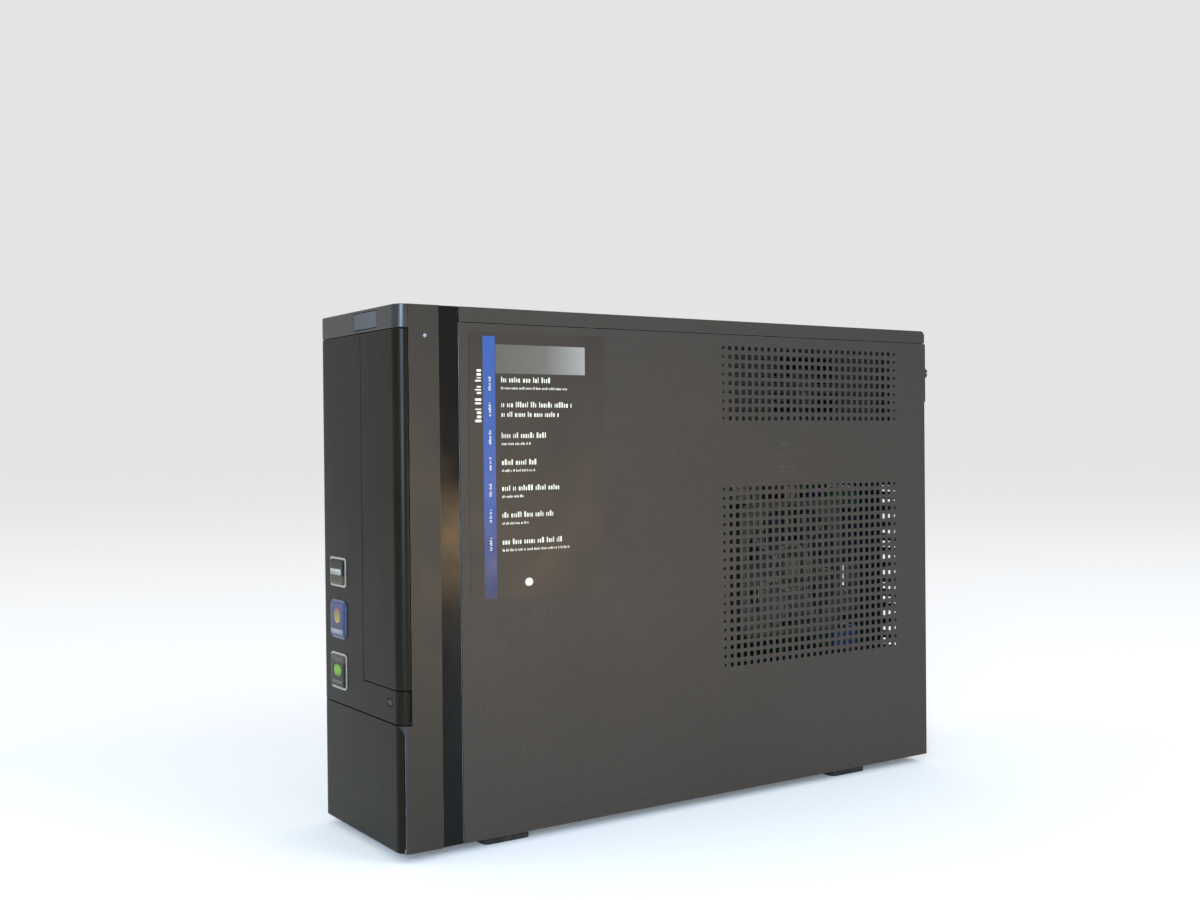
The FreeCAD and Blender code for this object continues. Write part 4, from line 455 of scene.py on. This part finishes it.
FINISHES = {
    "case_steel": painted_steel("case_paint", tone(34, 32, 30), tone(66, 64, 60), tone(29, 28, 26)),
    "plated_steel": sheet_metal("zinc_plate", tone(172, 173, 173), tone(148, 149, 151)),
    # The piano black's brownish base and haze carry a slight warm tint that is painted warm reflection,
    # standing in for warm reflected light.
    "gloss_front": gloss_plastic("piano_black", tone(18, 15, 10), tone(32, 28, 22)),
    "bezel_plastic": moulded_plastic("satin_black", tone(44, 43, 41), tone(52, 51, 49)),
    "button_plastic": moulded_plastic("button_grey", tone(58, 60, 66), tone(68, 70, 76)),
    "light_pipe": light_pipe("frosted_pipe"),
    "rubber": soft_rubber("foot_rubber"),
    "circuit_board": circuit_board("solder_mask"),
    "black_plastic": moulded_plastic("black_nylon", tone(24, 24, 25), tone(32, 32, 33), (0.42, 0.6)),
    "ivory_plastic": moulded_plastic("ivory_nylon", tone(206, 198, 176), tone(222, 216, 198)),
    "blue_plastic": moulded_plastic("blue_nylon", tone(34, 66, 150), tone(48, 84, 172)),
    "red_plastic": moulded_plastic("red_nylon", tone(150, 24, 20), tone(176, 38, 30)),
    "aluminium": cast_metal("extruded_aluminium", tone(190, 192, 194), tone(150, 152, 155)),
    "brass": cast_metal("turned_brass", tone(196, 160, 88), tone(150, 116, 58)),
    "bright_steel": cast_metal("bright_steel", tone(196, 197, 198), tone(140, 141, 143), (0.18, 0.34)),
    "lead_sleeve": wire_sleeve("wire_bundle"),
    "badge_film": badge_rim(),
    "label_film": label_film(),
}


# ---------------------------------------------------------------- CAD nodes: finish and edge rounding

SLOT_OF = {row["node"]: row["material_slot"] for row in frame["record"]["subparts"]}
EDGE_MM = {
    "gloss_front": 0.5, "bezel_plastic": 0.35, "button_plastic": 0.45, "case_steel": 0.25,
    "plated_steel": 0.15, "rubber": 0.5, "bright_steel": 0.12, "aluminium": 0.12,
}


def round_edges(node, width):
    """Weld, bevel and weighted normals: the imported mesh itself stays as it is."""
    weld = node.modifiers.new("weld", "WELD")
    weld.merge_threshold = WELD_DISTANCE
    bevel = node.modifiers.new("bevel", "BEVEL")
    bevel.width = width * MM
    bevel.segments = 2
    bevel.limit_method = "ANGLE"
    bevel.angle_limit = math.radians(38)
    bevel.harden_normals = True
    bevel.miter_outer = "MITER_ARC"
    normals = node.modifiers.new("normals", "WEIGHTED_NORMAL")
    normals.keep_sharp = True
    normals.weight = 80


# Nodes whose finish isn't their slot's own.
OWN_FINISH = {
    "front_bezel": bezel_plastic(),
    "bezel_top_cap": moulded_plastic("cap_black", tone(30, 29, 28), tone(37, 36, 35), (0.22, 0.34)),
    "memory_modules": memory_module(),
    "keyboard_mouse_ports": port_colours("keyboard_mouse_ports", tone(96, 70, 150), tone(60, 140, 84)),
    "rear_audio_jacks": port_colours("rear_audio_jacks", tone(196, 96, 120), tone(88, 158, 80),
                                     tone(70, 120, 176)),
    "eject_button": moulded_plastic("eject_black", tone(16, 16, 17), tone(22, 22, 23)),
    "cover_thumbscrew": black_oxide(),
    "psu_housing": painted_steel("psu_paint", tone(26, 26, 28), tone(60, 60, 62), tone(20, 20, 22)),
    "cooler_fan_frame": moulded_plastic("fan_frame_grey", tone(60, 62, 60), tone(70, 72, 70), (0.4, 0.52)),
    "cooler_fan_rotor": moulded_plastic("fan_grey", tone(84, 88, 84), tone(98, 102, 98), (0.3, 0.42)),
    "psu_fan_rotor": moulded_plastic("psu_fan_black", tone(30, 30, 32), tone(38, 38, 40), (0.3, 0.42)),
}

for name, node in NODES.items():
    slot_name = SLOT_OF[name]
    node.material_slots[0].link = "OBJECT"
    node.material_slots[0].material = OWN_FINISH.get(name) or FINISHES[slot_name]
    round_edges(node, EDGE_MM.get(slot_name, 0.1))


# ---------------------------------------------------------------- pieces built on the frame

def add_piece(name, shape, body, material):
    """Turn a bmesh into a piece that rides on a body."""
    bmesh.ops.recalc_face_normals(shape, faces=shape.faces)
    mesh = bpy.data.meshes.new(name)
    shape.to_mesh(mesh)
    shape.free()
    mesh.materials.append(material)
    piece = bpy.data.objects.new(name, mesh)
    bpy.context.scene.collection.objects.link(piece)
    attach(piece, body)


def rounded_outline(low, high, radius, steps):
    """Points round a rectangle with rounded corners, low and high being its opposite corners."""
    shortest_edge = 1e-6  # keeps two corners' points apart where the radius is half a side
    radius = min(radius, (high[0] - low[0]) / 2 - shortest_edge, (high[1] - low[1]) / 2 - shortest_edge)
    centres = ((high[0] - radius, high[1] - radius), (low[0] + radius, high[1] - radius),
               (low[0] + radius, low[1] + radius), (high[0] - radius, low[1] + radius))
    points = []
    for quarter, (u, v) in enumerate(centres):
        for step in range(steps + 1):
            angle = (quarter + step / steps) * math.pi / 2
            points.append((u + radius * math.cos(angle), v + radius * math.sin(angle)))
    return points


def pad(shape, low, high, radius, profile, surface, steps=5):
    """A closed pad on a surface: a rounded rectangle in mm, lifted through (inset, height) steps.

    Each corner's arc has the given number of steps."""
    rings = []
    for inset, height in profile:
        ring = rounded_outline((low[0] + inset, low[1] + inset), (high[0] - inset, high[1] - inset),
                               max(radius - inset, 0.02), steps)
        rings.append([shape.verts.new(surface(u, v, height)) for u, v in ring])
    shape.faces.new(rings[0])
    shape.faces.new(rings[-1])
    for lower, upper in zip(rings, rings[1:]):
        for here in range(len(lower)):
            after = (here + 1) % len(lower)
            shape.faces.new((lower[here], lower[after], upper[after], upper[here]))


def film(thickness, edge=0.03):
    """The profile of thin print or a sticker, with a soft edge."""
    return ((0.0, 0.0), (0.0, thickness * 0.6), (edge, thickness))


def dome(thickness):
    """The profile of a cast resin badge."""
    return ((0.0, 0.0), (0.0, thickness * 0.35), (0.25, thickness * 0.65), (0.7, thickness * 0.88),
            (1.5, thickness))


def on_side(x):
    """A surface facing +X at x mm; u runs along Y and v along Z."""
    return lambda u, v, height: Vector((x + height, u, v)) * MM


def on_front(y):
    """A surface facing -Y at y mm; u runs along X and v along Z."""
    return lambda u, v, height: Vector((u, y - height, v)) * MM


def box_mm(node):
    """The low and high corners of a CAD node's box."""
    low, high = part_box(node)
    return low / MM, high / MM


def greek_line(shape, start, length, height, surface, draw, upright=False, lift=0.06):
    """Plain bars that read as a line of small print from afar, with no letters in it.

    They run from start, a place on the surface in mm, along it or up it."""
    done = 0.0
    word = draw.randint(2, 6)
    while done < length:
        width = height * draw.uniform(0.13, 0.4)
        tall = height * draw.choice((0.72, 0.72, 1.0))
        low, high = (start[0] + done, start[1]), (start[0] + done + width, start[1] + tall)
        if upright:
            low, high = (start[0] - tall, start[1] + done), (start[0], start[1] + done + width)
        pad(shape, low, high, height * 0.12, film(lift, 0.02), surface, steps=2)
        word -= 1
        done += width + height * (0.2 if word else 0.6)
        word = word or draw.randint(2, 6)


# The service label's rows of print, in mm: how far under its top, the length of the heading, and the
# length and height of the line under it.
LABEL_ROWS = (
    (25.0, 30, 40, 1.35), (37.5, 42, 34, 2.7), (53.0, 26, 17, 1.35), (66.5, 20, 19, 1.35),
    (79.5, 34, 12, 1.35), (93.0, 30, 15, 1.35), (106.5, 36, 40, 1.35),
)
# How far under the label's top each short word on the blue band starts.
BAND_WORDS = (29, 42, 56, 69, 82, 95, 109)


def service_print():
    """What is printed on the service label: a blue band, a grey panel and rows of small print."""
    low, high = box_mm("service_label")
    front, top, bottom = low.y, high.z, low.z
    band_front, band_rear = front + 8, front + 15
    panel_bottom, panel_top = top - 20.5, top - 6
    text_front = band_rear + 3.5
    layer = 0.05
    surface = on_side(high.x)
    draw = random.Random(4)

    shape = bmesh.new()
    pad(shape, (band_front, bottom + 1), (band_rear, top - 2), 0.3, film(layer), surface)
    add_piece("label_blue_band", shape, "side_cover", blue_print(bottom * MM, top * MM))

    shape = bmesh.new()
    pad(shape, (band_rear + 0.2, panel_bottom), (high.y - 12, panel_top), 0.4, film(layer), surface)
    add_piece("label_grey_panel", shape, "side_cover", grey_print(band_rear * MM, high.y * MM))

    shape = bmesh.new()
    heading, line_gap = 2.9, 2.1
    for drop, heading_length, length, height in LABEL_ROWS:
        greek_line(shape, (text_front, top - drop), heading_length, heading, surface, draw)
        greek_line(shape, (text_front, top - drop - line_gap - height), length, height, surface, draw)
    on_band, word_rear, word_length, word_height = on_side(high.x + layer), band_rear - 2.6, 6.5, 1.4
    for drop in BAND_WORDS:
        greek_line(shape, (word_rear, top - drop), word_length, word_height, on_band, draw, upright=True)
    title_length, title_height = 27, 3.6
    title_rear, title_bottom = band_front - 1, top - 45
    greek_line(shape, (title_rear, title_bottom), title_length, title_height, surface, draw, upright=True)
    dot_front, dot_bottom, dot_width, dot_height = text_front + 13, top - 128, 4.6, 4
    pad(shape, (dot_front, dot_bottom), (dot_front + dot_width, dot_bottom + dot_height), 1.9,
        film(0.06, 0.02), surface)
    add_piece("label_small_print", shape, "side_cover", white_print())


def solids_of(node):
    """The (low, high) box in mm of each separate solid in a node, highest first."""
    shape = bmesh.new()
    shape.from_mesh(NODES[node].data)
    bmesh.ops.remove_doubles(shape, verts=shape.verts, dist=WELD_DISTANCE)
    boxes, waiting = [], set(shape.verts)
    while waiting:
        found = [waiting.pop()]
        points = []
        while found:
            vertex = found.pop()
            points.append(vertex.co / MM)
            for edge in vertex.link_edges:
                other = edge.other_vert(vertex)
                if other in waiting:
                    waiting.remove(other)
                    found.append(other)
        boxes.append((Vector(map(min, zip(*points))), Vector(map(max, zip(*points)))))
    shape.free()
    return sorted(boxes, key=lambda box: -box[1].z)


def resin(name, field, stops):
    """Glossy cast resin over print whose colour changes up its height, given as (share, colour).

    It gives a function, because the badge's own height in mm is measured later."""
    def build(low, high):
        finish = Finish(name, field, 0.1, specular=0.2)
        wander = finish.spread(finish.noise(160, 3), -0.0011, 0.0011)
        share = finish.spread(finish.maths("ADD", finish.along("Z"), wander), 0, 1, low * MM, high * MM)
        fleck = finish.spread(finish.noise(900, 2), 0, 0.2)
        finish.colour(finish.mix(fleck, finish.ramp(share, stops), field))
        finish.rough(finish.spread(finish.noise(60, 4), 0.06, 0.16))
        finish.normal(finish.bump(finish.noise(120, 2), 0.0002, 0.05))
        return finish.material
    return build


# Each badge's resin field, then its raised prints: their opposite corners as (share of width, share of
# height), and their finish.
BADGES = (
    (resin("badge_dark_field", tone(12, 13, 13), [(0.0, tone(70, 58, 44)), (0.34, tone(58, 50, 40)),
                                                  (0.42, tone(12, 13, 13)), (1.0, tone(16, 17, 17))]),
     [((0.12, 0.4), (0.8, 0.6), resin("badge_streak", tone(150, 148, 140), [
         (0.0, tone(120, 118, 112)), (1.0, tone(176, 174, 166))]))]),
    (resin("badge_violet_field", tone(40, 44, 70), [(0.0, tone(64, 66, 84)), (0.3, tone(48, 52, 76)),
                                                    (1.0, tone(62, 68, 104))]),
     [((0.34, 0.4), (0.72, 0.78), resin("badge_warm_centre", tone(150, 106, 60), [
         (0.0, tone(168, 140, 62)), (0.5, tone(104, 112, 56)), (1.0, tone(156, 78, 46))])),
      ((0.12, 0.12), (0.88, 0.24), resin("badge_pale_bar", tone(120, 122, 132), [
          (0.0, tone(104, 106, 116)), (1.0, tone(138, 140, 148))]))]),
    (resin("badge_black_field", tone(12, 12, 12), [(0.0, tone(12, 12, 12)), (0.2, tone(13, 13, 13)),
                                                   (0.74, tone(24, 20, 16)), (0.82, tone(66, 58, 48)),
                                                   (1.0, tone(76, 68, 58))]),
     [((0.3, 0.36), (0.76, 0.68), resin("badge_green_disc", tone(78, 116, 28), [
         (0.0, tone(62, 104, 20)), (0.5, tone(104, 150, 34)), (1.0, tone(84, 130, 30))])),
      ((0.2, 0.16), (0.8, 0.24), resin("badge_tan_bar", tone(84, 76, 62), [
          (0.0, tone(70, 62, 50)), (1.0, tone(96, 88, 72))]))]),
)


def badges():
    """Domed stickers with made-up colour fields, one on each foil of the CAD node."""
    raised_print = ((0, 0.3), (0, 0.95), (0.2, 1.02))
    for number, ((low, high), (field, prints)) in enumerate(zip(solids_of("front_badges"), BADGES)):
        surface = on_front(low.y)
        rim, corner, thickness = 1.0, 1.6, 0.9
        shape = bmesh.new()
        pad(shape, (low.x + rim, low.z + rim), (high.x - rim, high.z - rim), corner, dome(thickness), surface)
        add_piece(f"badge_{number + 1}", shape, "chassis", field(low.z, high.z))
        width, height = high.x - low.x, high.z - low.z
        for layer, (start, stop, ink) in enumerate(prints):
            first = (low.x + width * start[0], low.z + height * start[1])
            last = (low.x + width * stop[0], low.z + height * stop[1])
            is_disc = layer == 0 and number > 0
            corner = (last[1] - first[1]) / 2 if is_disc else 0.5
            shape = bmesh.new()
            pad(shape, first, last, corner, raised_print, surface, steps=8)
            add_piece(f"badge_{number + 1}_print_{layer + 1}", shape, "chassis",
                      ink(first[1], last[1]))


def slide_marks():
    """Three pressed ridges that show where to push the cover."""
    front, bottom, length, width, pitch = 58, 186, 12, 1.8, 7
    ridge = ((0, 0), (0.2, 0.14), (0.55, 0.24))
    surface = on_side(box_mm("side_cover")[1].x)
    shape = bmesh.new()
    for number in range(3):
        start = bottom + pitch * number
        pad(shape, (front, start), (front + length, start + width), width / 2, ridge, surface)
    add_piece("cover_slide_marks", shape, "side_cover", FINISHES["case_steel"])


def side_level(node):
    """Where a node's largest flat area facing +X lies, in mm."""
    areas = {}
    for face in NODES[node].data.polygons:
        if face.normal.x > 0.99:
            level = round(face.center.x / MM, 1)
            areas[level] = areas.get(level, 0) + face.area
    return max(areas, key=areas.get)


def sticker(name, node, place, size, paper, seed, rows):
    """A plain sticker on a node's +X face, with a heading bar and rows of greeked small print.

    place is how far its corner lies from the node's front and bottom, in mm."""
    corner = box_mm(node)[0]
    front, bottom = corner.y + place[0], corner.z + place[1]
    length = size[0]
    rear, top = front + length, bottom + size[1]
    layer, margin, line_height = 0.1, 3, 2.2
    level = side_level(node)
    above = on_side(level + layer)
    draw = random.Random(seed)
    shape = bmesh.new()
    pad(shape, (front, bottom), (rear, top), 1.5, film(layer), on_side(level))
    add_piece(name, shape, "chassis", paper)

    shape = bmesh.new()
    heading_bottom, heading_top, heading_share = top - 10, top - 4, 0.55
    pad(shape, (front + margin, heading_bottom), (front + length * heading_share, heading_top), 0.4,
        film(0.04, 0.01), above)
    for row in range(rows):
        row_bottom = top - 17 - row * line_height * 2.1
        row_length = length * draw.uniform(0.45, 0.8)
        greek_line(shape, (front + margin, row_bottom), row_length, line_height, above, draw, lift=0.04)
    ink = label_film() if paper.name.startswith("pale") else white_print()
    add_piece(f"{name}_print", shape, "chassis", ink)


def pale_paper():
    def colour(finish):
        return finish.mix(finish.noise(160, 3), tone(204, 203, 198), tone(224, 223, 219))
    return printed("pale_paper", colour, 0.5)


def fan_sticker(name, rotor, frame_node, body, radius):
    """A round maker's sticker on a fan's hub, left plain but for two rings."""
    low, high = box_mm(frame_node)
    y, z = (low.y + high.y) / 2, (low.z + high.z) / 2
    hub = on_side(box_mm(rotor)[1].x)
    shape = bmesh.new()
    pad(shape, (y - radius, z - radius), (y + radius, z + radius), radius, film(0.1), hub, steps=10)
    add_piece(name, shape, body, label_film())
    inner = radius * 0.55
    shape = bmesh.new()
    pad(shape, (y - inner, z - inner), (y + inner, z + inner), inner, film(0.15), hub, steps=10)
    half_fade = 30
    ink = grey_print((y - half_fade) * MM, (y + half_fade) * MM)
    add_piece(f"{name}_centre", shape, body, ink)


def small_parts():
    """Varied little components: tan, black and tinned, by place."""
    finish = Finish("chip_components", tone(120, 96, 70), 0.4, specular=0.5)
    stops = [(0.0, tone(122, 98, 70)), (0.4, tone(30, 30, 32)), (0.75, tone(168, 166, 160))]
    finish.colour(finish.ramp(finish.random_shade(420), stops, constant=True))
    finish.rough(finish.spread(finish.noise(600, 2), 0.3, 0.5))
    finish.normal(finish.bump(finish.noise(1400, 2), 0.00004, 0.4))
    return finish.material


def epoxy():
    """The dull black case of a chip."""
    finish = Finish("chip_epoxy", tone(26, 26, 27), 0.5, specular=0.45)
    finish.colour(finish.mix(finish.spread(finish.noise(500, 4), 0, 1), tone(22, 22, 23), tone(36, 36, 37)))
    finish.rough(finish.spread(finish.noise(300, 3), 0.42, 0.6))
    finish.normal(finish.bump(finish.noise(2200, 2), 0.00003, 0.6))
    return finish.material


def chip_legs(shape, low, high, surface):
    """Tinned legs along both long sides of a chip."""
    width, reach, pitch, end = 0.4, 0.7, 0.95, 0.5
    profile = ((0, 0), (0, 0.3), (0.05, 0.4))
    along = 0 if high[0] - low[0] >= high[1] - low[1] else 1
    across = 1 - along
    place = low[along] + end
    while place < high[along] - end:
        for near, far in ((low[across] - reach, low[across]), (high[across], high[across] + reach)):
            first, last = (place, near), (place + width, far)
            if along == 1:
                first, last = first[::-1], last[::-1]
            pad(shape, first, last, 0.1, profile, surface, steps=1)
        place += pitch


def taken_on_board(board_back, board_face):
    """The (front, bottom, rear, top) in mm of what stands on the motherboard, with room round it."""
    not_on_board = ("chassis_shell", "motherboard", "rear_panel", "internal_leads", "main_power_harness")
    headroom, behind, margin, latch_sweep = 8.7, 0.7, 2.0, 12.0
    taken = []
    for name in NODES:
        if name in not_on_board:
            continue
        reach = latch_sweep if name.startswith("memory_latch") else margin
        for low, high in solids_of(name):
            if low.x < board_face + headroom and high.x > board_back - behind:
                taken.append((low.y - reach, low.z - reach, high.y + reach, high.z + reach))
    return taken


# What the board carries besides the CAD nodes: length, width and height in mm, and how many.
BOARD_PARTS = ((14, 14, 1.4, 2), (10, 6, 1.3, 8), (6, 4, 1.1, 16), (2.6, 1.4, 0.7, 170))


def board_parts():
    """Chips and small components on the motherboard wherever nothing else stands."""
    edge, tries, smallest_chip = 3, 40, 3
    draw = random.Random(11)
    low, high = box_mm("motherboard")
    surface = on_side(high.x)
    taken = taken_on_board(low.x, high.x)
    chips, legs, bits = bmesh.new(), bmesh.new(), bmesh.new()
    kinds = [kind[:3] for kind in BOARD_PARTS for _ in range(kind[3])]
    for long, short, height in kinds:
        for _ in range(tries):
            width, depth = draw.choice(((long, short), (short, long)))
            front = draw.uniform(low.y + edge, high.y - edge - width)
            bottom = draw.uniform(low.z + edge, high.z - edge - depth)
            rear, top = front + width, bottom + depth
            if all(rear < t[0] or front > t[2] or top < t[1] or bottom > t[3] for t in taken):
                break
        else:
            continue
        is_chip = long > smallest_chip
        space = 1.6 if is_chip else 0.5
        taken.append((front - space, bottom - space, rear + space, top + space))
        profile = ((0, 0), (0, height * 0.6), (0.12, height))
        if is_chip:
            pad(chips, (front, bottom), (rear, top), 0.2, profile, surface, steps=1)
            chip_legs(legs, (front, bottom), (rear, top), surface)
        else:
            pad(bits, (front, bottom), (rear, top), 0.1, profile, surface, steps=1)
    add_piece("board_chips", chips, "chassis", epoxy())
    add_piece("board_chip_legs", legs, "chassis", FINISHES["bright_steel"])
    add_piece("board_small_parts", bits, "chassis", small_parts())


service_print()
slide_marks()
badges()
sticker("hard_drive_sticker", "hard_drive", (81, 13.6), (55, 76), pale_paper(), 21, 9)
sticker("optical_drive_sticker", "optical_drive_housing", (54, 38.8), (78, 72), pale_paper(), 22, 8)
sticker("power_supply_sticker", "psu_housing", (119, 6.5), (48, 52), label_film(), 23, 7)
fan_sticker("cooler_fan_sticker", "cooler_fan_rotor", "cooler_fan_frame", "cooler_fan", 13)
fan_sticker("psu_fan_sticker", "psu_fan_rotor", "psu_fan_frame", "psu_fan", 10)
board_parts()


# ---------------------------------------------------------------- stage, light and camera

def camera_like_photo():
    """The photograph's viewpoint: place, direction and lens."""
    azimuth, pitch, roll = (math.radians(angle) for angle in (56.768, -0.596, -0.537))
    place = Vector((0.628545, -0.464876, 0.202593))
    forward = Vector((-math.sin(azimuth) * math.cos(pitch), math.cos(azimuth) * math.cos(pitch),
                      math.sin(pitch)))
    level = Vector((math.cos(azimuth), math.sin(azimuth), 0))
    upward = level.cross(forward)
    right = math.cos(roll) * level + math.sin(roll) * upward
    up = math.cos(roll) * upward - math.sin(roll) * level
    lens = bpy.data.cameras.new("photo_camera")
    lens.sensor_width = 36
    lens.lens = 40.18665
    lens.shift_x = 0.0227158
    lens.shift_y = 0.00526
    lens.clip_start = 0.02
    lens.clip_end = 60
    camera = bpy.data.objects.new("photo_camera", lens)
    bpy.context.scene.collection.objects.link(camera)
    camera.matrix_world = Matrix((
        (right.x, up.x, -forward.x, place.x),
        (right.y, up.y, -forward.y, place.y),
        (right.z, up.z, -forward.z, place.z),
        (0, 0, 0, 1),
    ))
    bpy.context.scene.camera = camera


def area_light(name, place, aim, size, power, colour):
    """A soft lamp at a place in metres, turned to its aim; size in metres and power in watts."""
    lamp = bpy.data.lights.new(name, "AREA")
    lamp.shape = "RECTANGLE"
    lamp.size, lamp.size_y = size
    lamp.energy = power
    lamp.color = colour
    light = bpy.data.objects.new(name, lamp)
    bpy.context.scene.collection.objects.link(light)
    direction = Vector(aim) - Vector(place)
    light.location = place
    light.rotation_euler = direction.to_track_quat("-Z", "Y").to_euler()


def pale_floor(glow):
    """A wide pale floor that gives back what it takes from the surround, so that the two match."""
    albedo, wander = 0.86, 0.01
    shape = bmesh.new()
    bmesh.ops.create_circle(shape, cap_ends=True, radius=30, segments=96)
    mesh = bpy.data.meshes.new("floor")
    shape.to_mesh(mesh)
    shape.free()
    floor = bpy.data.objects.new("floor", mesh)
    floor.location.z = CAD_BOX[0][2]
    bpy.context.scene.collection.objects.link(floor)
    finish = Finish("pale_floor", (albedo,) * 3, 0.9, specular=0.0)
    finish.put("Emission Color", (1.0, 1.0, 1.0, 1.0))
    finish.put("Emission Strength", glow * (1 - albedo))
    finish.colour(finish.mix(finish.noise(3, 4), (albedo - wander,) * 3, (albedo + wander,) * 3))
    mesh.materials.append(finish.material)


def studio():
    """A white surround, a soft key, cool light on the near corner and the side, and a warm low fill."""
    surround = 0.78
    world = bpy.data.worlds.new("studio")
    world.use_nodes = True
    background = world.node_tree.nodes["Background"]
    background.inputs["Color"].default_value = (1.0, 1.0, 1.0, 1.0)
    background.inputs["Strength"].default_value = surround
    bpy.context.scene.world = world
    bpy.context.scene.view_settings.view_transform = "Standard"
    pale_floor(surround)
    area_light("key", (-0.9, -2.0, 1.9), (0, 0, 0.13), (1.4, 1.4), 9, (1.0, 0.9, 0.76))
    area_light("corner_strip", (1.215, -1.11, 0.48), (0.045, -0.18, 0.2), (0.6, 0.84), 34, (0.48, 0.75, 1.0))
    area_light("cool_side", (1.9, 1.1, 1.6), (0, 0.05, 0.2), (1.3, 1.1), 22, (0.8, 0.88, 1.0))
    area_light("warm_fill", (1.3, 0.3, 0.06), (0.04, -0.12, 0.03), (1.1, 0.1), 6, (1.0, 0.66, 0.34))


camera_like_photo()
studio()
